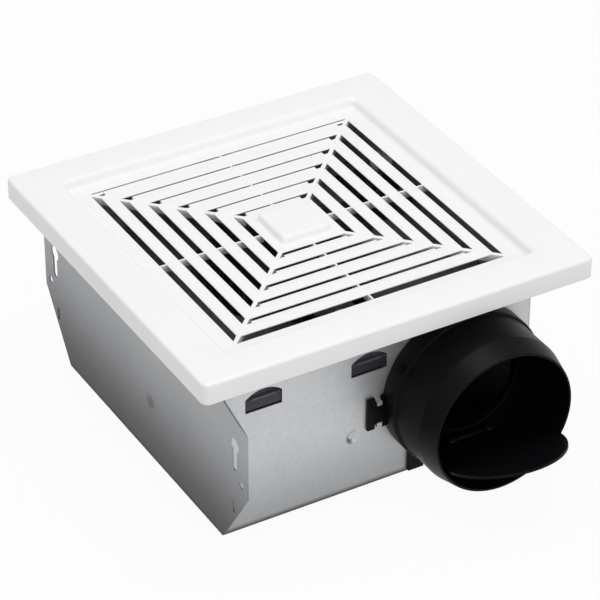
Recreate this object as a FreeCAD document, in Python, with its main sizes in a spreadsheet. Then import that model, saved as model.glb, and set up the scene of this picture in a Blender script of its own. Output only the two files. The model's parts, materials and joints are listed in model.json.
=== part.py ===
"""Bathroom exhaust fan: sheet-steel housing, blower, tapered duct collar with damper, and louvred grille.

Millimetres.  +Z is up with the grille on top, as the fan lies on its back.  The origin is the middle of
the outside of the housing's back.  The duct leaves along +X, and the face screwed to a joist looks along -Y.
"""
import FreeCAD, Part
import math
import os
import re
from FreeCAD import Placement, Rotation, Vector

# Driving dimensions, each written once
SIZES = dict(
    # Housing of folded sheet
    housing_x=184.0, housing_y=195.0, housing_z=110.0, sheet_t=0.9, flange_w=9.0,
    # Mounting panel with an ear at each end
    ear_reach=28.0, ear_root_z=92.5, ear_tip_top_z=84.0, ear_tip_low_z=42.0,
    keyhole_out=14.5, keyhole_z=70.0, keyhole_r=4.5, keyhole_slot_r=2.4, keyhole_drop=14.0,
    nail_out=21.5, nail_z=48.0, nail_r=2.2, slit_out=13.0, slit_z=25.0, slit_len=8.0, slit_w=1.8,
    dimple_r=4.5, dimple_depth=1.4, panel_dimple_x=10.0, panel_dimple_z=38.0,
    face_dimple_y=-16.0, face_dimple_z=36.0,
    # Half-moon windows for the blower plate's tabs
    moon_w=22.4, moon_h=13.1, moon_side_h=8.7, moon_z=75.5, moon_first_y=-71.5, moon_second_y=-6.3,
    # Cable entry and blank knockout in the rear face
    entry_r=11.1, entry_y=-80.0, entry_z=34.0, blank_z=62.0, groove_w=0.8, groove_depth=0.45,
    # Duct connector
    duct_y=50.0, duct_z=52.0, base_ring_r=47.8, base_ring_len=12.0, collar_r=46.3, collar_len=24.0,
    lip_r=43.2, lip_len=13.0, bore_r=41.8, connector_back_r=40.0, seat_from_face=8.0, seat_t=2.0,
    seat_hole_r=30.5, seat_lip_w=2.0, seat_gap=0.3, housing_port_r=41.0,
    tab_t=2.0, tab_y=-8.0, tab_h=20.6, tab_drop=4.0, neck_gap=1.2, neck_w=4.2, neck_cut=3.2, join=1.0,
    foot_y=19.0, foot_w=10.0, foot_h=16.0, foot_lift=0.6, lance_w=3.0, lance_over=2.6, lance_gap=0.4,
    # Damper flap
    flap_r=35.5, flap_t=1.6, hinge_from_face=14.5, hinge_drop=30.5, hinge_barrel_r=2.6, trunnion_r=1.5,
    trunnion_gap=0.05, lug_r=3.5, lug_t=4.0, lug_side_gap=0.4, hinge_tab_w=19.0, flap_start=4.5,
    flap_set=0.5, flap_rest_deg=18.0, flap_ring_r=22.0, flap_ring_w=2.0, flap_ring_h=1.4,
    # Scroll
    scroll_t=0.6, scroll_r=66.0, scroll_step=8.0, scroll_tongue_r=8.0,
    # Blower plate
    axis_x=-8.0, axis_y=0.0, plate_z=82.6, plate_gap=0.4, plate_flange_h=12.0, inlet_r=54.0, throat_r=47.0,
    throat_drop=13.0, tab_w=15.0, notch_x=56.0, notch_y=24.0,
    # Blower wheel
    wheel_r=58.0, wheel_eye_r=49.0, wheel_low_z=14.0, wheel_top_z=66.0, wheel_disc_t=1.2, wheel_ring_t=2.0,
    blade_t=0.9, blade_bow=2.2, blades=36, hub_r=9.0, hub_h=16.0, clip_t=1.4, clip_h=5.0,
    clip_z=24.0, clip_split=3.0,
    # Motor
    shaft_r=3.0, shaft_low_z=16.5, shaft_top_z=108.5, shaft_gap=0.02,
    core_low_z=86.0, core_t=14.0, core_x=52.0, core_back_y=-26.0, core_front_y=41.0, stator_bore_r=16.5,
    window_x=26.0, window_y=21.0, limb_w=12.0, coil_t=6.4, bobbin_t=0.8, coil_gap=0.2,
    rotor_r=16.0, rotor_ring_r=14.5, rotor_ring_h=2.6, shade_w=2.4, shade_out=1.2,
    bracket_w=14.0, bracket_t=3.0, bracket_clear=7.0, pillar_w=6.4, pocket_r=9.0, pocket_h=6.0,
    bearing_r=6.0, bearing_gap=0.03, screw_r=2.0, screw_gap=0.2, head_r=3.8, head_h=2.2,
    nut_r=3.9, nut_h=3.0,
    # Motor strap
    strap_t=1.2, strap_w=24.0, strap_inner_x=30.0, strap_foot=12.0, grommet_r=5.5, grommet_t=2.0,
    # Wiring box
    wiring_x=40.0, wiring_y=33.0, ledge=10.8, cover_screw_in=5.4,
    receptacle_x=26.0, receptacle_y=15.0, receptacle_h=11.0, receptacle_shift=3.0, socket_rim=1.5,
    blade_slot_w=2.0, blade_slot_l=7.0, blade_slot_pitch=8.0, blade_slot_depth=8.0,
    small_screw_r=1.8, small_head_r=3.4, small_head_h=2.0, small_screw_len=6.0,
    # Grille
    grille_x=235.0, grille_y=241.0, rim_h=12.7, grille_t=2.4, grille_corner_r=4.0, grille_edge_r=1.6,
    recess_over=2.0, recess_depth=5.4, recess_draft=1.6, slot_pitch=11.7, slot_w=4.6, slot_border=5.0,
    rib_t=1.5, rib_sink=0.8, pad_w=29.5, pad_h=4.2, pad_draft=1.2,
    rest_rib_l=22.0, rest_rib_t=2.2, rest_gap=0.3, rib_root=0.4,
    # Grille springs
    spring_x=52.0, spring_in=9.5, wire_r=0.7, coil_r=5.5, coil_pitch=2.8, coil_turns=2.0, coil_ease=0.5,
    coil_drop=11.0, leg_len=70.0, leg_lean=8.0, peg_gap=0.5, post_t=2.4, bracket_depth=17.0, bracket_len=44.0,
    slot_l=34.0, slot_across=11.0, spring_bracket_z=93.0, spring_bracket_flange=10.0,
)
NEAR = 0.01
FIRST_SLOT_PITCHES = 2

# Places that several sub-parts share, as expressions of the sizes
NECK_Y = "(duct_y - base_ring_r - neck_gap - neck_w)"
TAB_MID_Z = "(duct_z - tab_drop)"
FLANGE_Y = ("-housing_y/2 + sheet_t", "housing_y/2 - 2*sheet_t")
PLATE_SCREW_Z = "plate_z + sheet_t + plate_flange_h/2"
STRAP_SCREWS = ("inlet_r + strap_foot/2", "(-inlet_r) - strap_foot/2")
STRAP_SEAT_Z = "plate_z + sheet_t + grommet_t"
CORE_TOP_Z = "core_low_z + core_t"
LOW_BAR_Z = "core_low_z - bracket_clear - bracket_t"
HIGH_BAR_Z = "core_low_z + core_t + bracket_clear"
PILLAR_X = "core_x/2 - pillar_w/2"
SHADE_AT = "((stator_bore_r + shade_w)/sqrt(2))"
WIRING_WALL_X = "-housing_x/2 + sheet_t + wiring_x"
WIRING_WALL_Y = "-housing_y/2 + 2*sheet_t + wiring_y"
COVER_SCREW_X = WIRING_WALL_X + " - cover_screw_in"
COVER_SCREW_Y = WIRING_WALL_Y + " - cover_screw_in"

doc = FreeCAD.newDocument("ExhaustFan")
sheet = doc.addObject("Spreadsheet::Sheet", "Dims")
for row, (alias, number) in enumerate(SIZES.items(), start=1):
    sheet.set("A%d" % row, alias)
    sheet.set("B%d" % row, repr(float(number)))
    sheet.setAlias("B%d" % row, alias)
doc.recompute()

NODES = []
PREFIX = {alias: "Dims." + alias for alias in SIZES}
X_AXIS = Vector(1, 0, 0)
Y_AXIS = Vector(0, 1, 0)
Z_AXIS = Vector(0, 0, 1)


def v(alias):
    """The number that the sheet holds under this alias."""
    return float(sheet.get(alias))


def bound(text):
    """An expression in which every alias is read from the sheet."""
    return re.sub(r"[a-z][a-z_]*", lambda word: PREFIX.get(word.group(0), word.group(0)), str(text))


def bind(obj, **properties):
    """Ties an object's properties to the sheet and returns the object."""
    for name, text in properties.items():
        obj.setExpression(name, bound(text))
    return obj


def place(obj, at, along=Z_AXIS):
    """Turns an object's Z axis along a direction and ties its corner or centre to the sheet."""
    obj.Placement = Placement(Vector(), Rotation(Z_AXIS, along))
    for letter, text in zip("xyz", at):
        obj.setExpression(".Placement.Base." + letter, bound(text))
    return obj


def box(at, size):
    """A block with its lowest corner at a point."""
    block = doc.addObject("Part::Box", "Block")
    bind(block, Length=size[0], Width=size[1], Height=size[2])
    return place(block, at)


def rod(at, radius, length, along=Z_AXIS):
    """A round bar from a point along a direction."""
    bar = doc.addObject("Part::Cylinder", "Bar")
    bind(bar, Radius=radius, Height=length)
    return place(bar, at, along)


def taper(at, radius_from, radius_to, length, along=Z_AXIS):
    """A cone frustum from a point along a direction."""
    cone = doc.addObject("Part::Cone", "Taper")
    bind(cone, Radius1=radius_from, Radius2=radius_to, Height=length)
    return place(cone, at, along)


def nut_prism(at, radius, height):
    """A hexagonal bar standing on a point."""
    prism = doc.addObject("Part::Prism", "Hexagon")
    prism.Polygon = 6
    bind(prism, Circumradius=radius, Height=height)
    return place(prism, at)


def fuse(*solids):
    """One solid of several that overlap or touch."""
    union = doc.addObject("Part::MultiFuse", "Union")
    union.Shapes = list(solids)
    union.Refine = True
    return union


def cut(base, *tools):
    """A solid less others."""
    difference = doc.addObject("Part::Cut", "Difference")
    difference.Base = base
    difference.Tool = tools[0] if len(tools) == 1 else group(*tools)
    return difference


def common(first, second):
    """What two solids share."""
    shared = doc.addObject("Part::Common", "Shared")
    shared.Base = first
    shared.Tool = second
    return shared


def group(*solids):
    """Several separate solids as one object."""
    compound = doc.addObject("Part::Compound", "Group")
    compound.Links = list(solids)
    return compound


def shaped(shape, name="Shaped"):
    """An object that holds a shape worked out here from the sheet's numbers."""
    feature = doc.addObject("Part::Feature", name)
    feature.Shape = shape
    return feature


def node(label, obj):
    """Names a finished sub-part, which is written under that name."""
    obj.Label = label
    NODES.append((label, obj))
    return obj


def prism(points, along):
    """A straight bar whose section is a closed outline of points."""
    corners = [Vector(*point) for point in points]
    return Part.Face(Part.makePolygon(corners + corners[:1])).extrude(along)


def half_moon(y):
    """The cutter of a half-moon window: upright sides under the arc of a disc."""
    rise = "(moon_h - moon_side_h)"
    radius = "((moon_w/2)^2 + " + rise + "^2)/(2*" + rise + ")"
    inside = "housing_x/2 - 2*sheet_t"
    disc = rod((inside, y, "moon_z + moon_h - (" + radius + ")"), radius, "4*sheet_t", X_AXIS)
    sides = box((inside, y + " - moon_w/2", "moon_z"), ("4*sheet_t", "moon_w", "moon_h"))
    return common(disc, sides)


def pressed_dimple(at, along):
    """A dimple pressed into a sheet: the bump that it raises inside and the hollow that it leaves outside."""
    bump = taper(at, "dimple_r + sheet_t", "dimple_r/2 + sheet_t", "dimple_depth + sheet_t", along)
    hollow = taper(at, "dimple_r", "dimple_r/2", "dimple_depth", along)
    return bump, hollow


def lance(z_root, z_over):
    """A hook bent out of the duct face over the connector's tab."""
    y = NECK_Y + " + (neck_w - lance_w)/2"
    root = box(("housing_x/2 - sheet_t", y, z_root), ("2*sheet_t + tab_t + lance_gap", "lance_w", "sheet_t"))
    over = box(("housing_x/2 + tab_t + lance_gap", y, z_over), ("sheet_t", "lance_w", "lance_over"))
    return root, over


def wall_flanges(x):
    """The flanges along both upright edges of a wall, above the back's own flanges."""
    low = "sheet_t + flange_w"
    return [box((x, y, low), ("flange_w", "sheet_t", "housing_z - sheet_t - flange_w")) for y in FLANGE_Y]


def duct_face():
    """The wall with the duct port, the half-moon windows, a pressed dimple and the connector's hooks."""
    inside = "housing_x/2 - sheet_t"
    sheet = box((inside, "-housing_y/2 + sheet_t", "sheet_t"),
                ("sheet_t", "housing_y - 2*sheet_t", "housing_z - sheet_t"))
    upper_root = TAB_MID_Z + " + tab_h/2 - neck_cut + lance_gap"
    lower_root = TAB_MID_Z + " - tab_h/2 + neck_cut - lance_gap - sheet_t"
    bump, hollow = pressed_dimple(("housing_x/2", "face_dimple_y", "face_dimple_z"), -X_AXIS)
    solids = [sheet, bump] + wall_flanges(inside + " - flange_w")
    solids += lance(upper_root, upper_root + " + sheet_t - lance_over")
    solids += lance(lower_root, lower_root)
    port = rod(("housing_x/2 - 2*sheet_t", "duct_y", "duct_z"), "housing_port_r", "4*sheet_t", X_AXIS)
    return cut(fuse(*solids), hollow, half_moon("moon_first_y"), half_moon("moon_second_y"), port)


def rear_face():
    """The wall opposite the duct, with the cable entry, a blank knockout and the blower plate's screw hole."""
    rear = "-housing_x/2"
    sheet = box((rear, "-housing_y/2 + sheet_t", "sheet_t"),
                ("sheet_t", "housing_y - 2*sheet_t", "housing_z - sheet_t"))
    ring = cut(rod((rear, "entry_y", "blank_z"), "entry_r", "groove_depth", X_AXIS),
               rod((rear, "entry_y", "blank_z"), "entry_r - groove_w", "groove_depth", X_AXIS))
    entry = rod((rear + " - sheet_t", "entry_y", "entry_z"), "entry_r", "3*sheet_t", X_AXIS)
    screw_hole = rod((rear + " - sheet_t", "axis_y", PLATE_SCREW_Z), "small_screw_r + screw_gap", "3*sheet_t",
                     X_AXIS)
    return cut(fuse(sheet, *wall_flanges(rear + " + sheet_t")), ring, entry, screw_hole)


def housing_body():
    """The folded U as its three walls, which meet at the folds: duct face, back and rear face."""
    back = [box(("-housing_x/2", "-housing_y/2 + sheet_t", "0"),
                ("housing_x", "housing_y - 2*sheet_t", "sheet_t"))]
    for y in FLANGE_Y:
        back.append(box(("-housing_x/2 + sheet_t", y, "sheet_t"),
                        ("housing_x - 2*sheet_t", "sheet_t", "flange_w")))
    return node("housing_body", group(duct_face(), fuse(*back), rear_face()))


def ear(side):
    """One mounting ear: a plate with a sloped top and a long slanted lower edge."""
    root = side * v("housing_x") / 2
    tip = side * (v("housing_x") / 2 + v("ear_reach"))
    outer = -v("housing_y") / 2
    points = [(root, outer, 0), (tip, outer, v("ear_tip_low_z")), (tip, outer, v("ear_tip_top_z")),
              (root, outer, v("ear_root_z"))]
    return shaped(prism(points, Vector(0, v("sheet_t"), 0)), "Ear")


def mounting_panel():
    """The joist panel with its two ears, keyholes, nail holes, slits and a pressed dimple."""
    outer = "-housing_y/2"
    back = outer + " - sheet_t"
    solids = [box(("-housing_x/2", outer, "0"), ("housing_x", "sheet_t", "housing_z")), ear(-1), ear(1)]
    bump, hollow = pressed_dimple(("panel_dimple_x", outer, "panel_dimple_z"), Y_AXIS)
    solids.append(bump)
    cutters = [hollow]
    through = "3*sheet_t"
    for side in ("-", ""):
        key_x = side + "(housing_x/2 + keyhole_out)"
        cutters += [
            rod((key_x, back, "keyhole_z"), "keyhole_r", through, Y_AXIS),
            rod((key_x, back, "keyhole_z - keyhole_drop"), "keyhole_slot_r", through, Y_AXIS),
            box((key_x + " - keyhole_slot_r", back, "keyhole_z - keyhole_drop"),
                ("2*keyhole_slot_r", through, "keyhole_drop")),
            rod((side + "(housing_x/2 + nail_out)", back, "nail_z"), "nail_r", through, Y_AXIS),
            box((side + "(housing_x/2 + slit_out) - slit_w/2", back, "slit_z"),
                ("slit_w", through, "slit_len")),
        ]
    return node("mounting_panel", cut(fuse(*solids), *cutters))


def end_panel():
    """The plain panel that closes the side away from the joist."""
    panel = box(("-housing_x/2", "housing_y/2 - sheet_t", "0"), ("housing_x", "sheet_t", "housing_z"))
    return node("end_panel", panel)


def duct_connector():
    """The black collar: base ring, straight part, tapered lip, damper seat, hinge lugs, side tab and foot."""
    face = "housing_x/2"
    centre = ("duct_y", "duct_z")
    total = "base_ring_len + collar_len + lip_len"
    seat_z = "(duct_z - hinge_drop + flap_r + flap_set)"
    tab_low = TAB_MID_Z + " - tab_h/2"
    solids = [
        rod((face,) + centre, "base_ring_r", "base_ring_len", X_AXIS),
        rod((face + " + base_ring_len",) + centre, "collar_r", "collar_len", X_AXIS),
        taper((face + " + base_ring_len + collar_len",) + centre, "collar_r", "lip_r", "lip_len", X_AXIS),
        box((face, "tab_y", tab_low), ("tab_t", "duct_y - tab_y - connector_back_r - join", "tab_h")),
        box((face, "foot_y", "foot_lift"), ("tab_t", "foot_w", "foot_h")),
    ]
    seat_front = face + " + seat_from_face + seat_t"
    bore = cut(rod((seat_front,) + centre, "bore_r", total, X_AXIS),
               rod((seat_front, "duct_y", seat_z), "seat_hole_r + seat_lip_w",
                   "hinge_from_face - flap_t/2 - seat_gap - seat_from_face - seat_t", X_AXIS))
    hollows = [
        bore,
        rod((face,) + centre, "connector_back_r", "seat_from_face", X_AXIS),
        rod((face, "duct_y", seat_z), "seat_hole_r", total, X_AXIS),
        box((face, NECK_Y, tab_low), ("tab_t", "neck_w", "neck_cut")),
        box((face, NECK_Y, tab_low + " + tab_h - neck_cut"), ("tab_t", "neck_w", "neck_cut")),
    ]
    shell = cut(fuse(*solids), *hollows)
    hinge_x = face + " + hinge_from_face"
    hinge_z = "duct_z - hinge_drop"
    lugs = []
    for y in ("duct_y + hinge_tab_w/2 + lug_side_gap", "duct_y - hinge_tab_w/2 - lug_side_gap - lug_t"):
        lugs.append(box((hinge_x + " - lug_r", y, "duct_z - bore_r - join"),
                        ("2*lug_r", "lug_t", "bore_r + join - hinge_drop")))
        lugs.append(rod((hinge_x, y, hinge_z), "lug_r", "lug_t", Y_AXIS))
    pin_bore = rod((hinge_x, "duct_y - hinge_tab_w", hinge_z),
                   "trunnion_r + trunnion_gap", "2*hinge_tab_w", Y_AXIS)
    return node("duct_connector", cut(fuse(shell, *lugs), pin_bore))


def damper_flap():
    """The round damper with its hinge barrel and trunnions, made flat and tipped to where it lies open."""
    middle = "flap_r + flap_set"
    disc = cut(rod((middle, "0", "-flap_t/2"), "flap_r", "flap_t"),
               box(("-flap_r", "-flap_r", "-flap_t"), ("flap_r + flap_start", "2*flap_r", "2*flap_t")))
    ring_z = "-flap_t/2 - flap_ring_h"
    ring = cut(rod((middle, "0", ring_z), "flap_ring_r", "flap_ring_h"),
               rod((middle, "0", ring_z), "flap_ring_r - flap_ring_w", "flap_ring_h"))
    tongue = box(("0", "-hinge_tab_w/2", "-flap_t/2"), ("3*flap_start", "hinge_tab_w", "flap_t"))
    barrel = rod(("0", "-hinge_tab_w/2", "0"), "hinge_barrel_r", "hinge_tab_w", Y_AXIS)
    trunnions = rod(("0", "-hinge_tab_w/2 - lug_t", "0"), "trunnion_r", "hinge_tab_w + 2*lug_t", Y_AXIS)
    flap = fuse(disc, ring, tongue, barrel, trunnions)
    flap.Placement = Placement(Vector(), Rotation(Y_AXIS, -1))
    flap.setExpression(".Placement.Base.x", bound("housing_x/2 + hinge_from_face"))
    flap.setExpression(".Placement.Base.y", bound("duct_y"))
    flap.setExpression(".Placement.Base.z", bound("duct_z - hinge_drop"))
    flap.setExpression(".Placement.Rotation.Angle", bound("-flap_rest_deg"))
    return node("damper_flap", flap)


def scroll_wall():
    """The volute strip: tongue, three quarter arcs of growing radius, and a straight run to the duct face."""
    step, first = v("scroll_step"), v("scroll_r")
    centre = Vector(v("axis_x") - step / 2, v("axis_y") - step / 2, 0)
    tongue, thick = v("scroll_tongue_r"), v("scroll_t")
    exit_x = v("housing_x") / 2 - v("sheet_t")

    def edges(grow):
        """The strip's run, moved outwards from the wheel by an amount."""
        half = math.sqrt(0.5)
        turn = Vector(centre.x + first + tongue, centre.y, 0)
        small = tongue - grow
        slanted = Vector(-half * small, half * small, 0)
        arcs = [[turn + Vector(0, small, 0), turn + slanted, turn + Vector(-small, 0, 0)]]
        places = [(centre, first), (centre + Vector(0, step, 0), first + step),
                  (centre + Vector(step, step, 0), first + 2 * step)]
        headings = [(X_AXIS, -Y_AXIS), (-Y_AXIS, -X_AXIS), (-X_AXIS, Y_AXIS)]
        for (middle, radius), (start, end) in zip(places, headings):
            reach = radius + grow
            between = (start + end) * (half * reach)
            arcs.append([middle + start * reach, middle + between, middle + end * reach])
        run = [Part.makeLine(Vector(exit_x, arcs[0][0].y, 0), arcs[0][0])]
        run += [Part.Arc(*points).toShape() for points in arcs]
        run.append(Part.makeLine(arcs[-1][2], Vector(exit_x, arcs[-1][2].y, 0)))
        return run

    inner, outer = edges(0.0), edges(thick)
    ends = [Part.makeLine(inner[-1].Vertexes[-1].Point, outer[-1].Vertexes[-1].Point),
            Part.makeLine(inner[0].Vertexes[0].Point, outer[0].Vertexes[0].Point)]
    section = Part.Face(Part.Wire(Part.__sortEdges__(inner + outer + ends)))
    section.translate(Vector(0, 0, v("sheet_t")))
    height = v("plate_z") - v("sheet_t")
    return node("scroll_wall", shaped(section.extrude(Vector(0, 0, height)), "Volute"))


def on_axis(x="0", y="0"):
    """A point's place given from the blower's axis."""
    return "axis_x + " + x, "axis_y + " + y


def motor_plate():
    """The plate over the scroll: turned-up edge, tabs for the half-moon windows, inlet throat, notches."""
    half_x = "(housing_x/2 - sheet_t - plate_gap)"
    half_y = "(housing_y/2 - 2*sheet_t - plate_gap)"
    solids = [
        box(("-" + half_x, "-" + half_y, "plate_z"), ("2*" + half_x, "2*" + half_y, "sheet_t")),
        box(("-" + half_x, "axis_y - tab_w", "plate_z"), ("sheet_t", "2*tab_w", "sheet_t + plate_flange_h")),
        taper(on_axis() + ("plate_z - throat_drop",),
              "throat_r + sheet_t", "inlet_r + sheet_t", "throat_drop"),
    ]
    for y in ("moon_first_y", "moon_second_y"):
        solids.append(box((half_x + " - sheet_t", y + " - tab_w/2", "plate_z"),
                          ("plate_gap + 2*sheet_t", "tab_w", "sheet_t")))
    cutters = [
        taper(on_axis() + ("plate_z - throat_drop",), "throat_r", "inlet_r", "throat_drop"),
        rod(on_axis() + ("plate_z",), "inlet_r", "sheet_t"),
        rod(("-housing_x/2", "axis_y", PLATE_SCREW_Z), "small_screw_r + screw_gap", "4*sheet_t", X_AXIS),
        box(("-" + half_x, "-" + half_y, "plate_z"),
            ("wiring_x + sheet_t", "wiring_y + 2*sheet_t", "sheet_t")),
        box(("-spring_x - notch_x/2", half_y + " - notch_y", "plate_z"), ("notch_x", "notch_y", "sheet_t")),
        box(("spring_x - notch_x/2", "-" + half_y, "plate_z"), ("notch_x", "notch_y", "sheet_t")),
    ]
    for x in STRAP_SCREWS:
        cutters.append(rod(on_axis(x) + ("plate_z",), "screw_r + screw_gap", "sheet_t"))
    return node("motor_plate", cut(fuse(*solids), *cutters))


def plate_screw():
    """The screw that holds the plate's turned-up edge to the rear face."""
    head_x = "-housing_x/2 + 2*sheet_t + plate_gap"
    head = rod((head_x, "axis_y", PLATE_SCREW_Z), "small_head_r", "small_head_h", X_AXIS)
    shank = rod((head_x, "axis_y", PLATE_SCREW_Z), "small_screw_r", "small_screw_len", -X_AXIS)
    return node("plate_screw", fuse(head, shank))


def wheel_disc():
    """The blower wheel's back disc with its hub."""
    disc = rod(on_axis() + ("wheel_low_z",), "wheel_r", "wheel_disc_t")
    hub = rod(on_axis() + ("wheel_low_z",), "hub_r", "hub_h")
    bore = rod(on_axis() + ("wheel_low_z",), "shaft_r + shaft_gap", "hub_h")
    return node("wheel_disc", cut(fuse(disc, hub), bore))


def wheel_blades():
    """The blower wheel's bowed blades, which stand between its disc and its ring."""
    low, top = v("wheel_low_z") + v("wheel_disc_t"), v("wheel_top_z") - v("wheel_ring_t")
    bow, thick = v("blade_bow"), v("blade_t")
    inner, outer = v("wheel_eye_r"), v("wheel_r") - thick
    middle = (inner + outer) / 2
    blade_edges = [
        Part.Arc(Vector(inner, 0, low), Vector(middle, bow, low), Vector(outer, 0, low)).toShape(),
        Part.makeLine(Vector(outer, 0, low), Vector(outer, thick, low)),
        Part.Arc(Vector(outer, thick, low), Vector(middle, bow + thick, low),
                 Vector(inner, thick, low)).toShape(),
        Part.makeLine(Vector(inner, thick, low), Vector(inner, 0, low)),
    ]
    blade = Part.Face(Part.Wire(blade_edges)).extrude(Vector(0, 0, top - low))
    count = round(v("blades"))
    cage = []
    for place_in_ring in range(count):
        turned = blade.copy()
        turned.rotate(Vector(), Z_AXIS, 360.0 * place_in_ring / count)
        turned.translate(Vector(v("axis_x"), v("axis_y"), 0))
        cage.append(turned)
    return node("wheel_blades", shaped(Part.makeCompound(cage), "Blades"))


def wheel_ring():
    """The flat ring that joins the blades round the wheel's eye."""
    low = "wheel_top_z - wheel_ring_t"
    return node("wheel_ring", cut(rod(on_axis() + (low,), "wheel_r", "wheel_ring_t"),
                                  rod(on_axis() + (low,), "wheel_eye_r", "wheel_ring_t")))


def wheel_clip():
    """The split spring band that grips the hub on the shaft."""
    ring = cut(rod(on_axis() + ("clip_z",), "hub_r + shaft_gap + clip_t", "clip_h"),
               rod(on_axis() + ("clip_z",), "hub_r + shaft_gap", "clip_h"),
               box(on_axis("0", "(-clip_split/2)") + ("clip_z",), ("2*hub_r", "clip_split", "clip_h")))
    return node("wheel_clip", ring)


def motor_shaft():
    """The steel shaft through rotor, bearings and hub."""
    return node("motor_shaft", rod(on_axis() + ("shaft_low_z",), "shaft_r", "shaft_top_z - shaft_low_z"))


def rotor_core():
    """The rotor: lamination drum with a cast end ring at each side."""
    bore_low = "core_low_z - rotor_ring_h"
    drum = fuse(rod(on_axis() + ("core_low_z",), "rotor_r", "core_t"),
                rod(on_axis() + (bore_low,), "rotor_ring_r", "core_t + 2*rotor_ring_h"))
    bore = rod(on_axis() + (bore_low,), "shaft_r + shaft_gap", "core_t + 2*rotor_ring_h")
    return node("rotor_core", cut(drum, bore))


def stator_core():
    """The lamination stack: pole body round the rotor, two side limbs and the coil limb."""
    stack = box(on_axis("(-core_x/2)", "core_back_y") + ("core_low_z",),
                ("core_x", "core_front_y - core_back_y", "core_t"))
    cutters = [
        rod(on_axis() + ("core_low_z",), "stator_bore_r", "core_t"),
        box(on_axis("(-window_x/2)", "window_y") + ("core_low_z",),
            ("window_x", "core_front_y - limb_w - window_y", "core_t")),
    ]
    for side in ("-", ""):
        screw_at = on_axis(side + "(" + PILLAR_X + ")") + ("core_low_z",)
        cutters.append(rod(screw_at, "screw_r + screw_gap", "core_t"))
        for depth_side in ("-", ""):
            corner = on_axis(side + SHADE_AT + " - shade_w/2", depth_side + SHADE_AT + " - shade_w/2")
            cutters.append(box(corner + ("core_low_z",), ("shade_w", "shade_w", "core_t")))
    return node("stator_core", cut(stack, *cutters))


def shading_bars():
    """The copper bars through the pole faces, which stand out a little at both sides of the stack."""
    bars = []
    width = "shade_w - 2*coil_gap"
    for side in ("-", ""):
        x = side + SHADE_AT + " - shade_w/2 + coil_gap"
        for depth_side in ("-", ""):
            y = depth_side + SHADE_AT + " - shade_w/2 + coil_gap"
            at = on_axis(x, y) + ("core_low_z - shade_out",)
            bars.append(box(at, (width, width, "core_t + 2*shade_out")))
    return node("shading_bars", group(*bars))


def coil_bobbin():
    """The spool on the coil limb: a square tube with a flange at each end."""
    gap, wall = "coil_gap", "bobbin_t"
    length = "window_x - 2*coil_gap"
    x = "(-window_x/2) + coil_gap"
    limb_y = "core_front_y - limb_w"

    def sleeve(extra, x_text, long_text):
        """A block over the limb that stands off it by an amount."""
        return box(on_axis(x_text, limb_y + " - " + extra) + ("core_low_z - " + extra,),
                   (long_text, "limb_w + 2*(" + extra + ")", "core_t + 2*(" + extra + ")"))

    flange = "(coil_gap + bobbin_t + coil_t)"
    tube = fuse(sleeve("(" + gap + " + " + wall + ")", x, length),
                sleeve(flange, x, wall),
                sleeve(flange, "window_x/2 - coil_gap - bobbin_t", wall))
    return node("coil_bobbin", cut(tube, sleeve(gap, x, length)))


def motor_coil():
    """The wound coil, as one square ring between the bobbin's flanges."""
    x = "(-window_x/2) + 2*coil_gap + bobbin_t"
    length = "window_x - 4*coil_gap - 2*bobbin_t"
    limb_y = "core_front_y - limb_w"
    inner = "(2*coil_gap + bobbin_t)"
    outer = "(bobbin_t + coil_t)"

    def block(extra):
        """A block over the limb that stands off it by an amount."""
        return box(on_axis(x, limb_y + " - " + extra) + ("core_low_z - " + extra,),
                   (length, "limb_w + 2*" + extra, "core_t + 2*" + extra))

    return node("motor_coil", cut(block(outer), block(inner)))


def bearing_bracket(label, bar_z, pillar_z, pocket_z):
    """A cast bar over one side of the stack, on two pillars, with a pocket for the bearing."""
    solids = [box(on_axis("(-core_x/2)", "(-bracket_w/2)") + (bar_z,), ("core_x", "bracket_w", "bracket_t")),
              rod(on_axis() + (pocket_z,), "pocket_r", "pocket_h")]
    cutters = [rod(on_axis() + (pocket_z,), "bearing_r + bearing_gap", "pocket_h + bracket_t")]
    for x in ("(-core_x/2)", "core_x/2 - pillar_w"):
        solids.append(box(on_axis(x, "(-bracket_w/2)") + (pillar_z,),
                          ("pillar_w", "bracket_w", "bracket_clear")))
    for side in ("-", ""):
        cutters.append(rod(on_axis(side + "(" + PILLAR_X + ")") + (bar_z + " - bracket_clear",),
                           "screw_r + screw_gap", "3*bracket_clear"))
    return node(label, cut(fuse(*solids), *cutters))


def bearing(label, z):
    """A sleeve bearing pressed in its pocket, running on the shaft."""
    sleeve = cut(rod(on_axis() + (z,), "bearing_r", "pocket_h"),
                 rod(on_axis() + (z,), "shaft_r + bearing_gap", "pocket_h"))
    return node(label, sleeve)


def motor_screws():
    """The two long screws through brackets, stack and strap."""
    screws = []
    low = LOW_BAR_Z + " - strap_t - nut_h"
    high = HIGH_BAR_Z + " + bracket_t"
    for side in ("-", ""):
        at = on_axis(side + "(" + PILLAR_X + ")")
        shank = rod(at + (low,), "screw_r", high + " - (" + low + ")")
        screws.append(fuse(shank, rod(at + (high,), "head_r", "head_h")))
    return node("motor_screws", group(*screws))


def motor_nuts():
    """The nuts under the strap."""
    nuts = []
    for side in ("-", ""):
        at = on_axis(side + "(" + PILLAR_X + ")") + (LOW_BAR_Z + " - strap_t - nut_h",)
        nuts.append(cut(nut_prism(at, "nut_r", "nut_h"), rod(at, "screw_r + bearing_gap", "nut_h")))
    return node("motor_nuts", group(*nuts))


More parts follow.
